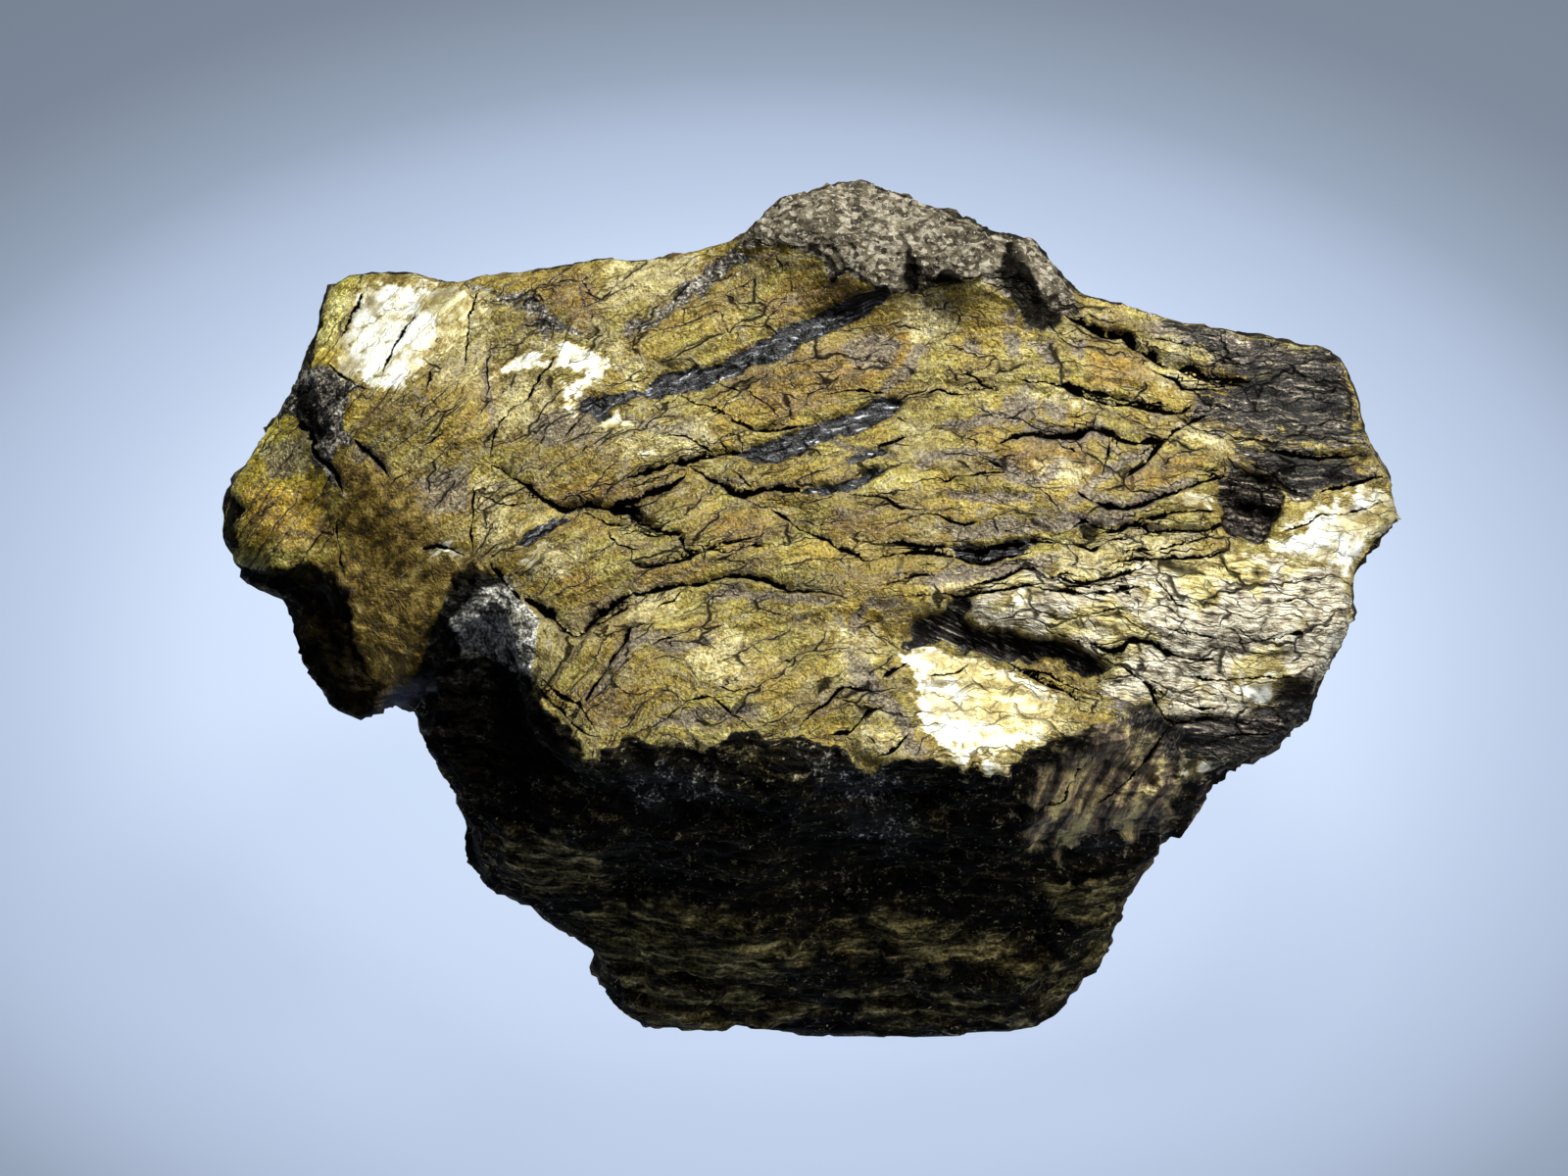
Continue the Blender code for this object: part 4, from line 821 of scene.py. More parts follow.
def grains(size, seed):
    """Rounded grains pressed together: 0 between them, 1 on top of each."""
    shift = Vector((seed, seed, seed))
    return np.array([1 - noise.voronoi(Vector(place) / size + shift)[0][0] for place in points])


def layers(thickness, seed):
    """Broken edges of the foliation: how far each thin layer stands out, 0 to 1."""
    stand = np.random.default_rng(seed).uniform(size=1024)
    place = (points @ FOLIATION + 0.9 * lumps) / thickness + 512
    layer = np.clip(np.floor(place).astype(int), 0, 1022)
    share = ease(place - layer, 0.75, 1.0)
    return stand[layer] * (1 - share) + stand[layer + 1] * share


def chips(size, seed):
    """Flat faces broken at odd angles, one for each cell, and flatter along the foliation."""
    across_layers = np.cross(FOLIATION, TO_RIGHT)
    spots = np.stack([points @ TO_RIGHT, points @ across_layers, 2.2 * points @ FOLIATION], axis=1)
    height = np.empty(len(points))
    for number, place in enumerate(spots / size + seed):
        spot = Vector(place)
        centre = noise.voronoi(spot)[1][0]
        lean = noise.cell_vector(centre * 9.0) * 2 - Vector((1, 1, 1))
        height[number] = lean.dot(spot - centre) + 0.35 * lean.x
    return height


grain = grains(GRAIN_SIZE, 3.1)
fine_grain = grains(FINE_GRAIN_SIZE, 6.4)
on_edge = np.clip(1.3 - 1.7 * np.abs(outward @ FOLIATION), 0, 1)
relief *= 1 - 0.85 * np.maximum(matrix, 0.75 * crushed)
grain_rise = MATRIX_RISE * matrix + CRUSHED_RISE * crushed
relief += grain_rise * (0.8 * grain + 0.35 * fine_grain - 0.6)
relief += shoulder * (LAYER_RISE * layers(SHOULDER_LAYER, 12) - 0.3)
thin_steps = LAYER_RISE * layers(THIN_LAYER, 14) - 0.3
relief += in_layers * (thin_steps + 0.35 * (flake_chance[:, 0] - 0.5))

# The broken faces
# The wall under the sheet, the sides, the back and the underside are broken rock, rough, with the
# foliation showing as thin steps. The foot stays flat. The material paints it near-black on the
# side toward the camera, as painted shade, and dark brown where it turns away.

HIGHEST_RELIEF = 1.1
LUMP_SIZE = 4.0
LUMP_RISE = 0.25
BIG_CHIP_SIZE = 5.5
BIG_CHIP_RISE = 0.75
SMALL_CHIP_SIZE = 2.1
SMALL_CHIP_RISE = 0.40
STEP_LAYER = 1.9
STEP_RISE = 0.45
FOOT_TOP = 0.35
covered = np.clip(sheet + matrix + crushed + shoulder + in_layers, 0, 1)
broken = 1 - covered * (1 - shadowed * (1 - matrix))
coarse = fractal(LUMP_SIZE, 5.5)
big_chips = chips(BIG_CHIP_SIZE, 2.4)
small_chips = chips(SMALL_CHIP_SIZE, 8.7)
steps = on_edge * (0.75 * layers(STEP_LAYER, 31) + 0.35 * layers(THIN_LAYER, 32) - 0.5)
rim = (1 - ease(np.abs(facing), 0.1, 0.5)) * ease(up, -2.0, 6.0)
broken_height = (1 - 0.55 * rim) * broken
behind = ease(-facing, 0.0, 0.4)
rough_rock = LUMP_RISE * coarse + STEP_RISE * steps + 0.12 * grit + 0.15 * (fine_grain - 0.5)
relief += broken_height * rough_rock
relief += broken_height * (BIG_CHIP_RISE * big_chips + SMALL_CHIP_RISE * small_chips)
relief += broken_height * behind * (0.45 * coarse + BIG_CHIP_RISE * big_chips + 0.35 * steps)
relief += (matrix + 0.6 * crushed) * (SMALL_CHIP_RISE * small_chips + 0.30 * coarse)
relief += sheet * 0.03 * grit
relief *= ease(points[:, 2], 0.3, 2.0)
relief = np.minimum(relief, HIGHEST_RELIEF)


def shape_stone():
    """Moves the skin by the relief, and keeps it in the solid's box and on the ground."""
    moved = points + outward * relief[:, None]
    low = np.array(cad_box[0]) / MM
    high = np.array(cad_box[1]) / MM
    moved = np.clip(moved, low, high)
    moved[points[:, 2] < FOOT_TOP, 2] = 0
    stone.data.vertices.foreach_set("co", (moved * MM).ravel())
    stone.data.update()


shape_stone()

# What the stone is made of, at each point
# The material reads these weights from the skin, so that the gold, the cream faces, the black
# lenses and the dark rock lie where the shape has them.


def paint(name, *columns):
    """Stores up to three values for each vertex, as one attribute of the skin."""
    values = np.zeros((len(points), 3), np.float32)
    for number, column in enumerate(columns):
        values[:, number] = column
    layer = stone.data.attributes.new(name, "FLOAT_VECTOR", "POINT")
    layer.data.foreach_set("vector", values.ravel())


LOBE_FROM = 36.0
LOBE_TO = 42.0
gold = sheet * (1 - slab)
steep_part = np.maximum(slab, tooth) > 0.2
along_flow = np.where(steep_part, up, right) + 1.5 * lumps
falling = np.where(pocket > 0.2, up + 0.45 * right, flow)
falling = np.where(slab > 0.2, 0.5 * up - 0.9 * right, falling)
falling = np.where(tooth > 0.2, 0.5 * up + 0.9 * right, falling)
paint("flow", along_flow, falling, plate_chance[:, 2])
paint("crack", crack_side, crack_width, crack_near)
paint("sheet", gold, bright, lens)
paint("rock", matrix, crushed * (1 - grey_gap), pocket)
paint("edge", shoulder, np.maximum(brown, 0.8 * tooth), shadowed)
paint("stain", ochre, pale, purple)
# Faces turned away from the camera keep the lighter rock; the side toward it gets painted shade.
turned_away = 1 - ease(facing + 0.15 * lumps, -0.25, 0.25)
# The left lobe of the gold, which the material paints lighter: painted light.
lobe_light = ease(-right, LOBE_FROM, LOBE_TO) * gold
paint("side", turned_away, slab, side_hole)
paint("wall", bronze, glint, grey_gap)
paint("dark", in_layers, floor_lit_facet, lobe_light)


# The bronzite
# Submetallic olive gold with a silky gloss, patched brown and purple-grey, on dark rock that is
# painted near-black, as painted shade, on its side toward the camera.
# All of it is one material, mixed by the weights above.

bronzite = bpy.data.materials.new("bronzite")
bronzite.use_nodes = True
nodes = bronzite.node_tree.nodes
links = bronzite.node_tree.links
surface = nodes["Principled BSDF"]


def put(value, socket):
    """Links a socket to another node's output, or sets it to a value."""
    if isinstance(value, bpy.types.NodeSocket):
        links.new(value, socket)
    else:
        socket.default_value = value


def painted(name):
    """The three values of an attribute of the skin, and all three together."""
    read = nodes.new("ShaderNodeAttribute")
    read.attribute_name = name
    parts = nodes.new("ShaderNodeSeparateXYZ")
    links.new(read.outputs["Vector"], parts.inputs[0])
    return (*parts.outputs, read.outputs["Vector"])


def scaled(vector, stretch):
    """A vector with each of its parts multiplied."""
    node = nodes.new("ShaderNodeVectorMath")
    node.operation = "MULTIPLY"
    put(vector, node.inputs[0])
    node.inputs[1].default_value = stretch
    return node.outputs[0]


def arithmetic(operation, first, second=0.0):
    """One step of arithmetic on one or two numbers."""
    node = nodes.new("ShaderNodeMath")
    node.operation = operation
    put(first, node.inputs[0])
    put(second, node.inputs[1])
    return node.outputs[0]


def plus(first, second):
    """Two numbers added."""
    return arithmetic("ADD", first, second)


def less(first, second):
    """The first number with the second taken away."""
    return arithmetic("SUBTRACT", first, second)


def times(first, second):
    """Two numbers multiplied."""
    return arithmetic("MULTIPLY", first, second)


def larger(first, second):
    """The larger of two numbers."""
    return arithmetic("MAXIMUM", first, second)


def between(value, low, high, low_result=0.0, high_result=1.0):
    """A smooth change from one result to another as the value goes from low to high."""
    node = nodes.new("ShaderNodeMapRange")
    node.interpolation_type = "SMOOTHSTEP"
    put(value, node.inputs["Value"])
    put(low, node.inputs["From Min"])
    put(high, node.inputs["From Max"])
    node.inputs["To Min"].default_value = low_result
    node.inputs["To Max"].default_value = high_result
    return node.outputs[0]


def mixed(share, first, second, blend="MIX"):
    """One colour laid over another."""
    node = nodes.new("ShaderNodeMix")
    node.data_type = "RGBA"
    node.blend_type = blend
    put(share, node.inputs["Factor"])
    put(first, node.inputs[6])
    put(second, node.inputs[7])
    return node.outputs[2]


def blended(first, first_share, second, second_share):
    """Two patterns added up, each by its share."""
    first = times(first, first_share)
    return plus(first, times(second, second_share))


def speckle(vector, scale, detail=4.0, rough=0.55):
    """Uneven noise from 0 to 1."""
    node = nodes.new("ShaderNodeTexNoise")
    put(vector, node.inputs["Vector"])
    node.inputs["Scale"].default_value = scale
    node.inputs["Detail"].default_value = detail
    node.inputs["Roughness"].default_value = rough
    return node.outputs["Fac"]


def cells(vector, scale, feature="F1"):
    """A pattern of cells, with how far each point is from a cell's middle or edge."""
    node = nodes.new("ShaderNodeTexVoronoi")
    node.feature = feature
    put(vector, node.inputs["Vector"])
    node.inputs["Scale"].default_value = scale
    return node


def tinted(value, stops):
    """A colour for each value, between the stops."""
    node = nodes.new("ShaderNodeValToRGB")
    ramp = node.color_ramp
    while len(ramp.elements) < len(stops):
        ramp.elements.new(0.5)
    for element, (place, colour) in zip(ramp.elements, stops):
        element.position = place
        element.color = (*colour, 1)
    put(value, node.inputs[0])
    return node.outputs[0]


place = nodes.new("ShaderNodeTexCoord").outputs["Object"]
place = scaled(place, (1 / MM, 1 / MM, 1 / MM))
_, _, plate_tone, flow_place = painted("flow")
crack_off, crack_width, crack_by, _ = painted("crack")
gold_at, bright_at, lens_at, _ = painted("sheet")
matrix_at, crushed_at, gap_shadow_at, _ = painted("rock")
shoulder_at, brown_at, shadowed_at, _ = painted("edge")
ochre_at, pale_at, purple_at, _ = painted("stain")
layered_at, floor_lit_at, lobe_light_at, _ = painted("dark")
bronze_at, glint_at, grey_at, _ = painted("wall")
back_at, slab_at, hole_at, _ = painted("side")

grain_fine = speckle(place, 3.4, 2.0, 0.65)
grain_mid = speckle(place, 0.9, 4.0, 0.62)
blotch = speckle(place, 0.16, 2.0, 0.6)
streak = speckle(scaled(flow_place, (0.16, 0.75, 0.0)), 1.0, 4.0, 0.6)
fine_streak = speckle(scaled(flow_place, (0.5, 3.4, 0.0)), 1.0, 3.0, 0.68)
granular = blended(grain_mid, 0.5, grain_fine, 0.5)
uneven = times(less(grain_mid, 0.5), 2.0)


def ragged(weight, soft=0.10):
    """A painted weight with its soft border broken up."""
    return between(plus(weight, times(uneven, 0.8)), 0.5 - soft, 0.5 + soft)


def streaked(weight):
    """A painted weight with its border drawn out along the flow."""
    along = times(less(fine_streak, 0.5), 2.6)
    return between(plus(weight, along), 0.38, 0.62)


# The gold of the sheet; its left is painted darker and its right paler, as painted shade and light
SHADED_LEFT_TO = -5.0
LIT_RIGHT_FROM = 22.0
gold_colour = tinted(
    blended(streak, 0.45, grain_mid, 0.55),
    [(0.36, (0.085, 0.055, 0.008)), (0.44, (0.170, 0.126, 0.019)), (0.50, (0.270, 0.222, 0.044)),
     (0.57, (0.375, 0.326, 0.110)), (0.66, (0.600, 0.555, 0.310))],
)
rusty = between(blotch, 0.42, 0.60, 0.0, 0.35)
gold_colour = mixed(rusty, gold_colour, (0.330, 0.205, 0.020, 1))
ochre_colour = tinted(
    grain_mid,
    [(0.36, (0.055, 0.028, 0.004)), (0.48, (0.160, 0.085, 0.008)), (0.58, (0.270, 0.160, 0.018)),
     (0.70, (0.400, 0.290, 0.070))],
)
gold_colour = mixed(times(ragged(ochre_at, 0.30), 0.75), gold_colour, ochre_colour)
pale_colour = tinted(
    grain_mid,
    [(0.36, (0.240, 0.190, 0.070)), (0.48, (0.470, 0.410, 0.200)), (0.60, (0.680, 0.620, 0.400))],
)
gold_colour = mixed(times(ragged(pale_at, 0.35), 0.80), gold_colour, pale_colour)
plate_shade = tinted(
    plate_tone,
    [(0.0, (0.62, 0.60, 0.56)), (0.5, (0.88, 0.88, 0.88)), (1.0, (1.12, 1.12, 1.10))],
)
gold_colour = mixed(0.8, gold_colour, plate_shade, "MULTIPLY")
purple_colour = tinted(
    blended(grain_mid, 0.6, grain_fine, 0.4),
    [(0.38, (0.050, 0.038, 0.036)), (0.50, (0.120, 0.096, 0.090)), (0.62, (0.250, 0.210, 0.180))],
)
stray = between(speckle(place, 0.45, 3.0, 0.6), 0.60, 0.66, 0.0, 0.55)
purple_share = larger(times(ragged(purple_at, 0.25), 0.8), stray)
gold_colour = mixed(purple_share, gold_colour, purple_colour)
grain_shade = tinted(
    grain_fine,
    [(0.32, (0.36, 0.32, 0.26)), (0.42, (0.82, 0.80, 0.76)), (0.54, (1.04, 1.04, 1.04)),
     (0.68, (1.60, 1.60, 1.70))],
)
gold_colour = mixed(1.0, gold_colour, grain_shade, "MULTIPLY")
specks = between(speckle(place, 5.5, 1.0, 0.5), 0.36, 0.30, 0.0, 0.8)
gold_colour = mixed(specks, gold_colour, (0.030, 0.020, 0.008, 1))
# Painted shade and light across the sheet: darker and yellower towards the left, brighter on the
# right.
sides = nodes.new("ShaderNodeSeparateXYZ")
links.new(place, sides.inputs[0])
side_light_tint = tinted(
    between(sides.outputs["X"], SHADED_LEFT_TO, LIT_RIGHT_FROM),
    [(0.0, (0.88, 0.85, 0.70)), (1.0, (1.03, 1.01, 0.98))],
)
gold_colour = mixed(1.0, gold_colour, side_light_tint, "MULTIPLY")
# The left lobe's gold painted lighter, as painted light.
lobe_light_colour = mixed(1.0, gold_colour, (1.70, 1.80, 1.32, 1), "MULTIPLY")
gold_colour = mixed(lobe_light_at, gold_colour, lobe_light_colour)
# Pale flecks on the gold: painted sparkle.
painted_sparkle = between(speckle(place, 4.6, 1.0, 0.5), 0.58, 0.66, 0.0, 0.25)
gold_colour = mixed(painted_sparkle, gold_colour, (0.560, 0.520, 0.360, 1))

# The broken rock: brown-black, with bronze along some of its layers; painted near-black, as
# painted shade, where it faces the camera
ROCK_LEAN = math.radians(23)
turned = nodes.new("ShaderNodeMapping")
turned.inputs["Rotation"].default_value = (-ROCK_LEAN, 0, 0)
turned.inputs["Scale"].default_value = (0.17, 0.30, 0.95)
links.new(place, turned.inputs["Vector"])
tilted = turned.outputs[0]
rock_layers = speckle(tilted, 1.0, 5.0, 0.72)
rock_and_shade_colour = tinted(
    blended(rock_layers, 0.7, grain_mid, 0.3),
    [(0.42, (0.002, 0.0015, 0.001)), (0.50, (0.007, 0.006, 0.003)), (0.57, (0.040, 0.032, 0.014)),
     (0.66, (0.260, 0.210, 0.090))],
)
pits = between(grain_fine, 0.42, 0.54, 0.85, 0.0)
rock_and_shade_colour = mixed(pits, rock_and_shade_colour, (0.001, 0.001, 0.001, 1))
# Painted glints: bright specks on the rock.
flashes = times(between(grain_fine, 0.60, 0.68), between(grain_mid, 0.50, 0.58))
rock_and_shade_colour = mixed(flashes, rock_and_shade_colour, (0.400, 0.340, 0.240, 1))
back_colour = tinted(
    blended(rock_layers, 0.5, grain_mid, 0.5),
    [(0.36, (0.008, 0.006, 0.004)), (0.44, (0.030, 0.022, 0.014)), (0.52, (0.095, 0.070, 0.040)),
     (0.60, (0.240, 0.180, 0.085)), (0.70, (0.430, 0.350, 0.190))],
)
dark_spots = between(grain_fine, 0.46, 0.34, 0.0, 0.8)
back_colour = mixed(dark_spots, back_colour, (0.010, 0.008, 0.006, 1))
worn_spots = between(grain_mid, 0.60, 0.70, 0.0, 0.6)
back_colour = mixed(worn_spots, back_colour, (0.200, 0.180, 0.160, 1))
back_tint = tinted(
    blotch,
    [(0.40, (0.50, 0.48, 0.46)), (0.50, (1.0, 1.0, 1.0)), (0.62, (1.7, 1.5, 1.15))],
)
back_colour = mixed(1.0, back_colour, back_tint, "MULTIPLY")
# Toward the camera the rock stays near-black, as painted shade; turned away it is lighter.
rock_and_shade_colour = mixed(back_at, rock_and_shade_colour, back_colour)
rock_streak = speckle(tilted, 1.3, 4.0, 0.72)
bronze_colour = tinted(
    blended(rock_streak, 0.8, grain_fine, 0.2),
    [(0.42, (0.004, 0.003, 0.002)), (0.48, (0.034, 0.027, 0.011)), (0.55, (0.160, 0.130, 0.052)),
     (0.64, (0.560, 0.470, 0.220))],
)
# Dark rock with white specks: painted glints.
glint_colour = tinted(
    granular,
    [(0.48, (0.003, 0.003, 0.002)), (0.55, (0.036, 0.033, 0.027)), (0.61, (0.380, 0.360, 0.320)),
     (0.66, (0.950, 0.940, 0.920))],
)
# Grey granular rock, painted brighter with white glints as painted light.
lit_grey_colour = tinted(
    granular,
    [(0.40, (0.008, 0.008, 0.007)), (0.47, (0.090, 0.085, 0.074)), (0.54, (0.300, 0.286, 0.255)),
     (0.62, (0.850, 0.830, 0.780))],
)
rock_and_shade_colour = mixed(ragged(bronze_at, 0.35), rock_and_shade_colour, bronze_colour)
rock_and_shade_colour = mixed(ragged(glint_at, 0.35), rock_and_shade_colour, glint_colour)
rock_and_shade_colour = mixed(ragged(grey_at, 0.25), rock_and_shade_colour, lit_grey_colour)

# The granular matrix
matrix_shade = nodes.new("ShaderNodeSeparateColor")
links.new(cells(place, 1.9).outputs["Color"], matrix_shade.inputs[0])
matrix_colour = tinted(
    blended(matrix_shade.outputs[0], 0.30, grain_mid, 0.70),
    [(0.32, (0.016, 0.012, 0.007)), (0.42, (0.058, 0.044, 0.026)), (0.53, (0.138, 0.113, 0.076)),
     (0.67, (0.360, 0.320, 0.255))],
)
dark_grains = between(grain_fine, 0.40, 0.30, 0.0, 0.8)
matrix_colour = mixed(dark_grains, matrix_colour, (0.020, 0.015, 0.010, 1))
pale_grains = between(grain_fine, 0.62, 0.70, 0.0, 0.7)
matrix_colour = mixed(pale_grains, matrix_colour, (0.62, 0.60, 0.56, 1))

# Crushed dark rock
crushed_colour = tinted(
    granular,
    [(0.40, (0.004, 0.003, 0.003)), (0.48, (0.032, 0.027, 0.023)), (0.55, (0.170, 0.148, 0.120)),
     (0.64, (0.620, 0.590, 0.540))],
)

# The dark right end and the laminated rock under the shoulder
layered_colour = tinted(
    blended(fine_streak, 0.70, grain_fine, 0.30),
    [(0.40, (0.002, 0.002, 0.002)), (0.47, (0.014, 0.011, 0.010)), (0.53, (0.062, 0.050, 0.045)),
     (0.59, (0.195, 0.163, 0.125)), (0.66, (0.600, 0.520, 0.370))],
)
coarse_dark = between(streak, 0.42, 0.56, 0.12, 1.30)
layered_colour = mixed(1.0, layered_colour, coarse_dark, "MULTIPLY")

# The shoulder's laminae on edge: tan and grey
laminae = blended(fine_streak, 0.6, grain_mid, 0.4)
shoulder_colour = tinted(
    laminae,
    [(0.37, (0.030, 0.022, 0.016)), (0.43, (0.190, 0.150, 0.105)), (0.50, (0.430, 0.375, 0.270)),
     (0.60, (0.820, 0.790, 0.680))],
)
shoulder_gold = tinted(
    laminae,
    [(0.37, (0.040, 0.026, 0.006)), (0.45, (0.240, 0.180, 0.040)), (0.54, (0.520, 0.440, 0.170)),
     (0.62, (0.760, 0.700, 0.430))],
)
gold_patches = between(blotch, 0.48, 0.56, 0.0, 0.85)
shoulder_colour = mixed(gold_patches, shoulder_colour, shoulder_gold)

# The tan and purple-brown slab below the shoulder
slab_colour = tinted(
    blended(streak, 0.6, plus(fine_streak, grain_mid), 0.2),
    [(0.40, (0.010, 0.007, 0.005)), (0.46, (0.110, 0.078, 0.055)), (0.51, (0.260, 0.195, 0.115)),
     (0.57, (0.640, 0.520, 0.230))],
)

# Brown, weathered bronzite
brown_colour = tinted(
    blended(grain_mid, 0.8, fine_streak, 0.2),
    [(0.38, (0.019, 0.012, 0.002)), (0.46, (0.064, 0.039, 0.005)), (0.54, (0.147, 0.093, 0.012)),
     (0.63, (0.300, 0.220, 0.055))],
)

# The cream of the cleavage faces, which is painted highlight, and the silvery black lenses
painted_highlight_colour = tinted(
    blended(streak, 0.55, grain_mid, 0.45),
    [(0.34, (0.300, 0.250, 0.120)), (0.42, (0.560, 0.530, 0.400)), (0.50, (0.760, 0.750, 0.680)),
     (0.60, (0.880, 0.880, 0.850))],
)
stained = tinted(
    blended(streak, 0.4, grain_mid, 0.6),
    [(0.38, (0.150, 0.105, 0.022)), (0.50, (0.330, 0.255, 0.080)), (0.60, (0.600, 0.530, 0.300))],
)
border = between(plus(bright_at, times(uneven, 0.9)), 0.90, 0.45)
patchy = between(speckle(place, 0.30, 2.0, 0.6), 0.50, 0.60, 0.0, 0.75)
stain_share = larger(times(ragged(pale_at, 0.3), 0.95), border)
stain_share = larger(stain_share, patchy)
painted_highlight_colour = mixed(stain_share, painted_highlight_colour, stained)
lens_colour = tinted(
    speckle(scaled(flow_place, (0.55, 2.6, 0.0)), 1.0, 3.0, 0.72),
    [(0.44, (0.005, 0.005, 0.006)), (0.56, (0.034, 0.033, 0.038)), (0.63, (0.200, 0.198, 0.225)),
     (0.69, (0.640, 0.650, 0.720))],
)

# The cracks: crisp near-black lines, which are painted shadow in the gaps, with a rim of painted
# shade, and hairlines between the laminae
crack_off = plus(crack_off, times(uneven, 0.20))
crack_off = plus(crack_off, times(less(grain_fine, 0.5), 0.35))
crack_narrow = between(speckle(place, 0.32, 2.0), 0.38, 0.60, 0.35, 1.10)
crack_width = times(crack_width, crack_narrow)
crack_way = less(arithmetic("ABSOLUTE", crack_off), crack_width)
crack_shadow_line = times(between(crack_way, 0.03, -0.05), between(crack_by, 0.35, 0.6))
crack_shade_rim = times(between(crack_way, 0.50, 0.0), between(crack_by, 0.2, 0.6))
crack_shade_rim = times(crack_shade_rim, between(crack_width, 0.05, 0.35))
warp = nodes.new("ShaderNodeTexNoise")
links.new(place, warp.inputs["Vector"])
warp.inputs["Scale"].default_value = 0.45
warp.inputs["Detail"].default_value = 3.0


def hairlines(bend, fineness, seed, width):
    """Thin cracks along the flow, the edges of long cells, in some places only; and how far
    each point is from the nearest edge."""
    warped = nodes.new("ShaderNodeVectorMath")
    warped.operation = "MULTIPLY_ADD"
    links.new(warp.outputs["Color"], warped.inputs[0])
    warped.inputs[1].default_value = bend
    links.new(flow_place, warped.inputs[2])
    shifted = nodes.new("ShaderNodeVectorMath")
    shifted.inputs[1].default_value = (seed, seed, 0)
    links.new(scaled(warped.outputs[0], fineness), shifted.inputs[0])
    away = cells(shifted.outputs[0], 1.0, "DISTANCE_TO_EDGE").outputs["Distance"]
    here = speckle(scaled(flow_place, (0.22, 0.5, 0.0)), 1.0, 2.0)
    here = plus(here, times(larger(shoulder_at, layered_at), 0.12))
    width = between(here, 0.40, 0.64, 0.0, width)
    return between(away, width, times(width, 0.2)), away


hair, hair_away = hairlines((2.6, 2.0, 0.0), (0.15, 0.50, 0.0), 0.0, 0.042)
fine_hair = hairlines((1.6, 1.2, 0.0), (0.36, 1.15, 0.0), 7.3, 0.045)[0]
fine_hair = times(fine_hair, 0.6)
few_hairs = larger(times(bright_at, 0.5), brown_at)
plain_gold = less(gold_at, few_hairs)
hair = times(larger(hair, fine_hair), plain_gold)
hair_rim = times(between(hair_away, 0.16, 0.02, 0.0, 0.30), plain_gold)

# All of it laid over one another
gold_colour = mixed(hair_rim, gold_colour, purple_colour)
colour = mixed(ragged(gold_at), rock_and_shade_colour, gold_colour)
colour = mixed(ragged(brown_at, 0.3), colour, brown_colour)
colour = mixed(ragged(slab_at, 0.3), colour, slab_colour)
colour = mixed(ragged(shoulder_at, 0.2), colour, shoulder_colour)
colour = mixed(ragged(matrix_at, 0.15), colour, matrix_colour)
colour = mixed(ragged(crushed_at, 0.2), colour, crushed_colour)
colour = mixed(streaked(layered_at), colour, layered_colour)
# The cleavage faces' painted highlight, drawn out along the flow.
drawn_out = times(less(fine_streak, 0.5), 1.6)
drawn_out = plus(drawn_out, times(uneven, 0.5))
bright_share = between(plus(bright_at, drawn_out), 0.25, 0.60)
colour = mixed(bright_share, colour, painted_highlight_colour)
lens_share = between(plus(lens_at, times(uneven, 0.90)), 0.38, 0.66)
colour = mixed(lens_share, colour, lens_colour)
# The deep gap over the pocket: painted shadow, near-black with pale laminae in it.
gap_shadow_colour = tinted(
    fine_streak,
    [(0.50, (0.004, 0.003, 0.003)), (0.58, (0.040, 0.034, 0.028)), (0.65, (0.300, 0.270, 0.220))],
)
colour = mixed(ragged(gap_shadow_at), colour, gap_shadow_colour)
# Painted shadow: near-black where overhangs, hollows and undersides shade the stone.
painted_shadow_share = times(ragged(shadowed_at, 0.3), 0.94)
colour = mixed(painted_shadow_share, colour, (0.003, 0.0025, 0.002, 1))
colour = mixed(times(ragged(hole_at, 0.4), 0.8), colour, layered_colour)
# The facet under the lobe, painted slate blue as light reflected from the floor.
colour = mixed(floor_lit_at, colour, (0.075, 0.080, 0.105, 1))
# A rim of painted shade beside the wider cracks.
colour = mixed(times(crack_shade_rim, 0.6), colour, (0.075, 0.058, 0.045, 1))
# The cracks and hairlines painted near-black: painted shadow in the gaps.
shadow_line = larger(crack_shadow_line, times(hair, 0.85))
colour = mixed(shadow_line, colour, (0.002, 0.0015, 0.001, 1))
links.new(colour, surface.inputs["Base Color"])

# The gloss: silky on the gold, sharper on the highlight-painted faces and the lenses, none on bare
# rock
GLOSS = 0.35
gold_rough = between(grain_mid, 0.35, 0.65, 0.40, 0.60)
rough = mixed(gold_at, (0.92, 0.92, 0.92, 1), gold_rough)
rough = mixed(bright_share, rough, (0.48, 0.48, 0.48, 1))
rough = mixed(lens_share, rough, (0.34, 0.34, 0.34, 1))
rough = mixed(shadow_line, rough, (0.9, 0.9, 0.9, 1))
links.new(rough, surface.inputs["Roughness"])
dull = larger(larger(shadow_line, painted_shadow_share), times(gap_shadow_at, 0.8))
bare_rock = less(1.0, gold_at)
glossy = (matrix_at, crushed_at, shoulder_at, slab_at, bright_share, back_at, glint_at, grey_at)
for weight in glossy:
    bare_rock = times(bare_rock, less(1.0, weight))
dull = larger(dull, times(bare_rock, 0.8))
links.new(larger(times(gold_at, 0.35), dull), surface.inputs["Metallic"])
surface.inputs["Specular IOR Level"].default_value = GLOSS

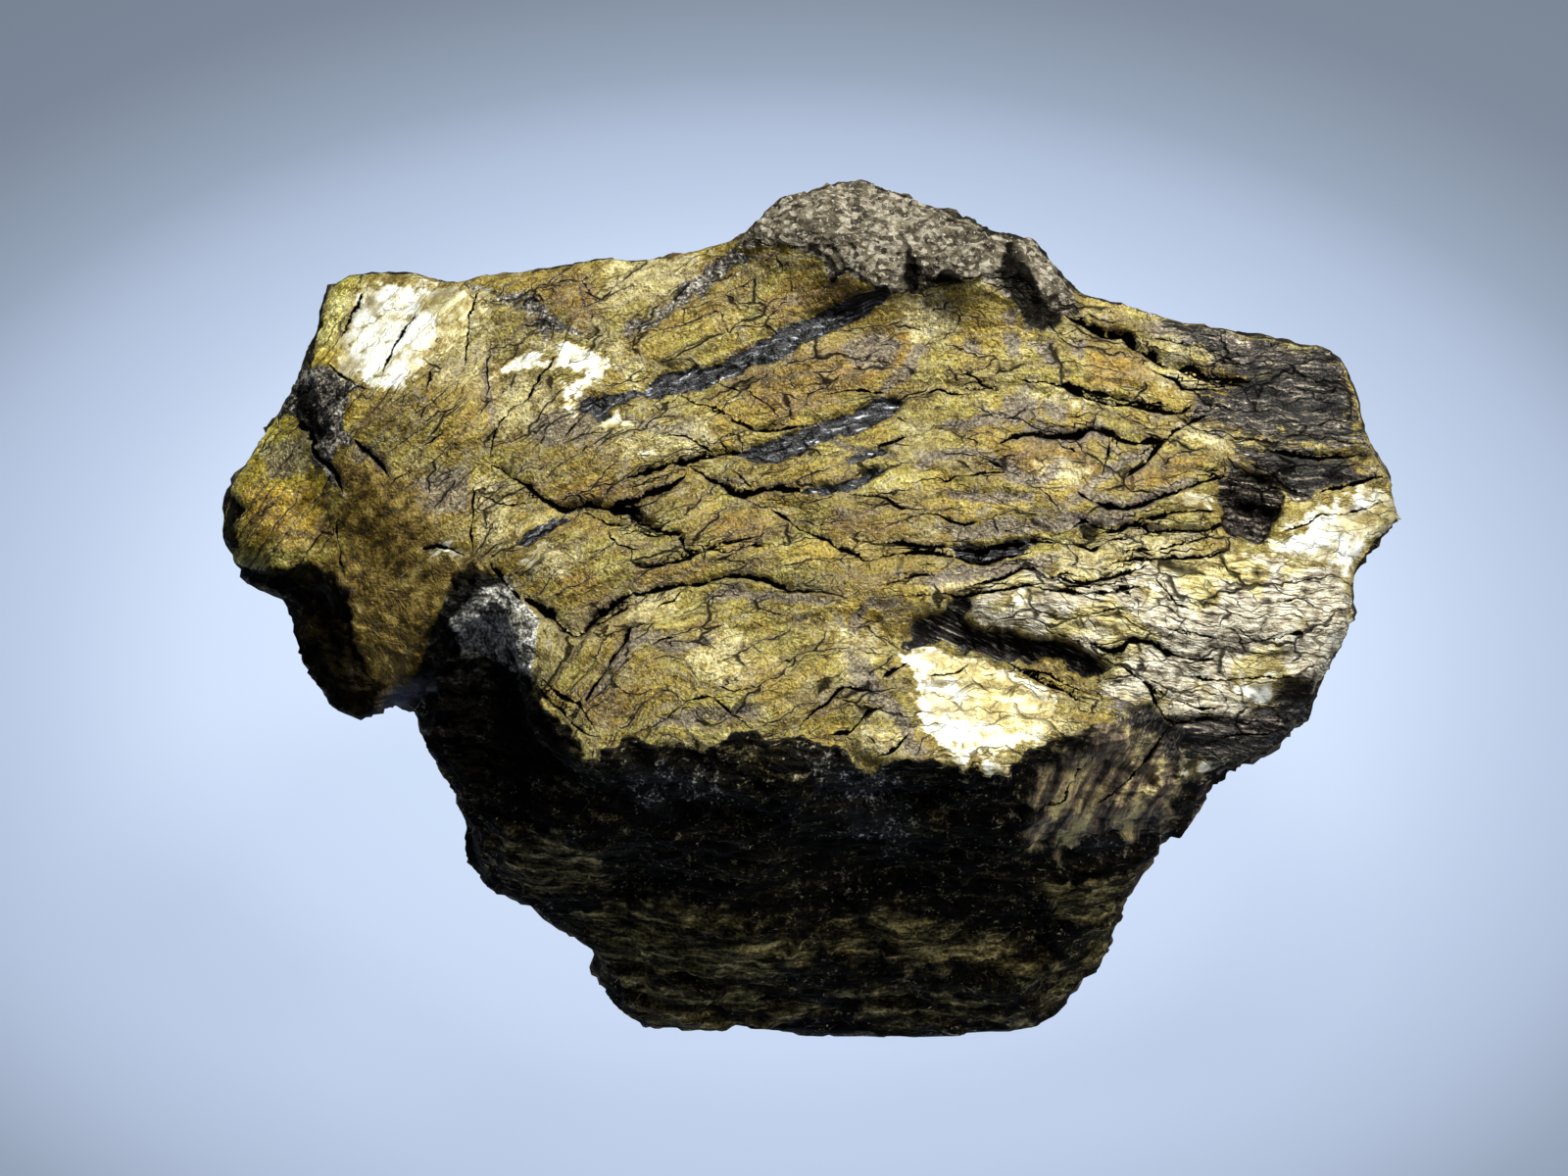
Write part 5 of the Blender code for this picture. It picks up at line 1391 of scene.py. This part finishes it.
# The finest relief: grains, fibres on the gold, splinters on the rock, and the cracks
BUMP_STRENGTH = 0.8
BUMP_HEIGHT = 0.5
height = blended(grain_fine, 0.50, grain_mid, 0.30)
height = plus(height, times(fine_streak, times(gold_at, 0.12)))
splinters = cells(tilted, 2.2).outputs["Distance"]
height = plus(height, times(splinters, less(1.0, gold_at)))
height = times(height, less(1.0, times(bright_share, 0.6)))
height = less(height, times(shadow_line, 0.6))
relief_bump = nodes.new("ShaderNodeBump")
relief_bump.inputs["Strength"].default_value = BUMP_STRENGTH
relief_bump.inputs["Distance"].default_value = BUMP_HEIGHT * MM
links.new(height, relief_bump.inputs["Height"])
links.new(relief_bump.outputs["Normal"], surface.inputs["Normal"])
stone.data.materials.clear()
stone.data.materials.append(bronzite)
for face in stone.data.polygons:
    face.use_smooth = True
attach(stone, "root")
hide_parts("bronzite")

# The floor
# A plain pale blue floor that glows a little, so that the stone casts no hard shadow on it. Its
# glow is a painted pool of light, brightest near the stone and darker away from it.

FLOOR_SIZE = 3.0
FLOOR_DROP = 0.0002
FLOOR_REACH = 0.2
FLOOR_MIDDLE = (0.004, -0.026, 0.0)
bpy.ops.mesh.primitive_plane_add(size=FLOOR_SIZE, location=(0, 0, -FLOOR_DROP))
floor = bpy.context.object
floor.name = "floor"
floor_finish = bpy.data.materials.new("pale floor")
floor_finish.use_nodes = True
nodes = floor_finish.node_tree.nodes
links = floor_finish.node_tree.links
surface = nodes["Principled BSDF"]
shift = nodes.new("ShaderNodeMapping")
shift.inputs["Location"].default_value = FLOOR_MIDDLE
links.new(nodes.new("ShaderNodeTexCoord").outputs["Object"], shift.inputs["Vector"])
away = nodes.new("ShaderNodeVectorMath")
away.operation = "LENGTH"
links.new(shift.outputs[0], away.inputs[0])
floor_glow = tinted(
    times(away.outputs["Value"], 1 / FLOOR_REACH),
    [(0.15, (0.640, 0.760, 0.960)), (0.27, (0.610, 0.720, 0.930)), (0.34, (0.470, 0.560, 0.750)),
     (0.42, (0.370, 0.450, 0.625)), (0.48, (0.240, 0.300, 0.410)), (0.60, (0.110, 0.140, 0.205)),
     (1.00, (0.090, 0.115, 0.170))],
)
surface.inputs["Base Color"].default_value = (0.04, 0.045, 0.05, 1)
nodes["Color Ramp"].color_ramp.interpolation = "B_SPLINE"
surface.inputs["Roughness"].default_value = 0.9
surface.inputs["Specular IOR Level"].default_value = 0.1
links.new(floor_glow, surface.inputs["Emission Color"])
surface.inputs["Emission Strength"].default_value = 1.0
floor.data.materials.append(floor_finish)

# The light
# A soft box above and a little behind the stone makes the cleavage faces flash. A weaker one
# stands on the right, and a faint one on the front left.

LIGHT_HEIGHT = 0.03


def soft_box(name, towards, distance, size, watts, colour):
    """A square area light that faces the stone."""
    light = bpy.data.lights.new(name, "AREA")
    light.size = size
    light.energy = watts
    light.color = colour
    lamp = bpy.data.objects.new(name, light)
    bpy.context.scene.collection.objects.link(lamp)
    direction = Vector(towards).normalized()
    lamp.location = Vector((0, 0, LIGHT_HEIGHT)) + direction * distance
    lamp.rotation_euler = direction.to_track_quat("Z", "Y").to_euler()


soft_box("high soft box", (0.20, 0.30, 1.0), 0.6, 0.20, 6.4, (0.98, 1.0, 0.92))
soft_box("right soft box", (1.0, -0.25, 0.75), 0.7, 0.25, 2.8, (1.0, 1.0, 0.97))
soft_box("front soft box", (-0.5, -0.9, 1.3), 0.9, 0.45, 0.35, (0.92, 0.96, 1.0))

world = bpy.data.worlds.new("studio")
bpy.context.scene.world = world
world.use_nodes = True
sky = world.node_tree.nodes["Background"]
sky.inputs["Color"].default_value = (0.9, 0.94, 1.0, 1)
sky.inputs["Strength"].default_value = 0.03

# The camera
# It looks down on the stone's front at the photograph's angle, from nearly half a metre away.

LENS_LENGTH = 119.9
SENSOR_WIDTH = 36.0
NEAREST = 0.01
camera = bpy.data.cameras.new("camera")
camera.lens = LENS_LENGTH
camera.sensor_width = SENSOR_WIDTH
camera.clip_start = NEAREST
viewpoint = bpy.data.objects.new("camera", camera)
bpy.context.scene.collection.objects.link(viewpoint)
viewpoint.location = Vector(VIEW_MIDDLE + TO_VIEWER * VIEW_DISTANCE) * MM
viewpoint.rotation_euler = Matrix((TO_RIGHT, TO_TOP, TO_VIEWER)).transposed().to_euler()
bpy.context.scene.camera = viewpoint
bpy.context.scene.view_settings.view_transform = "Standard"
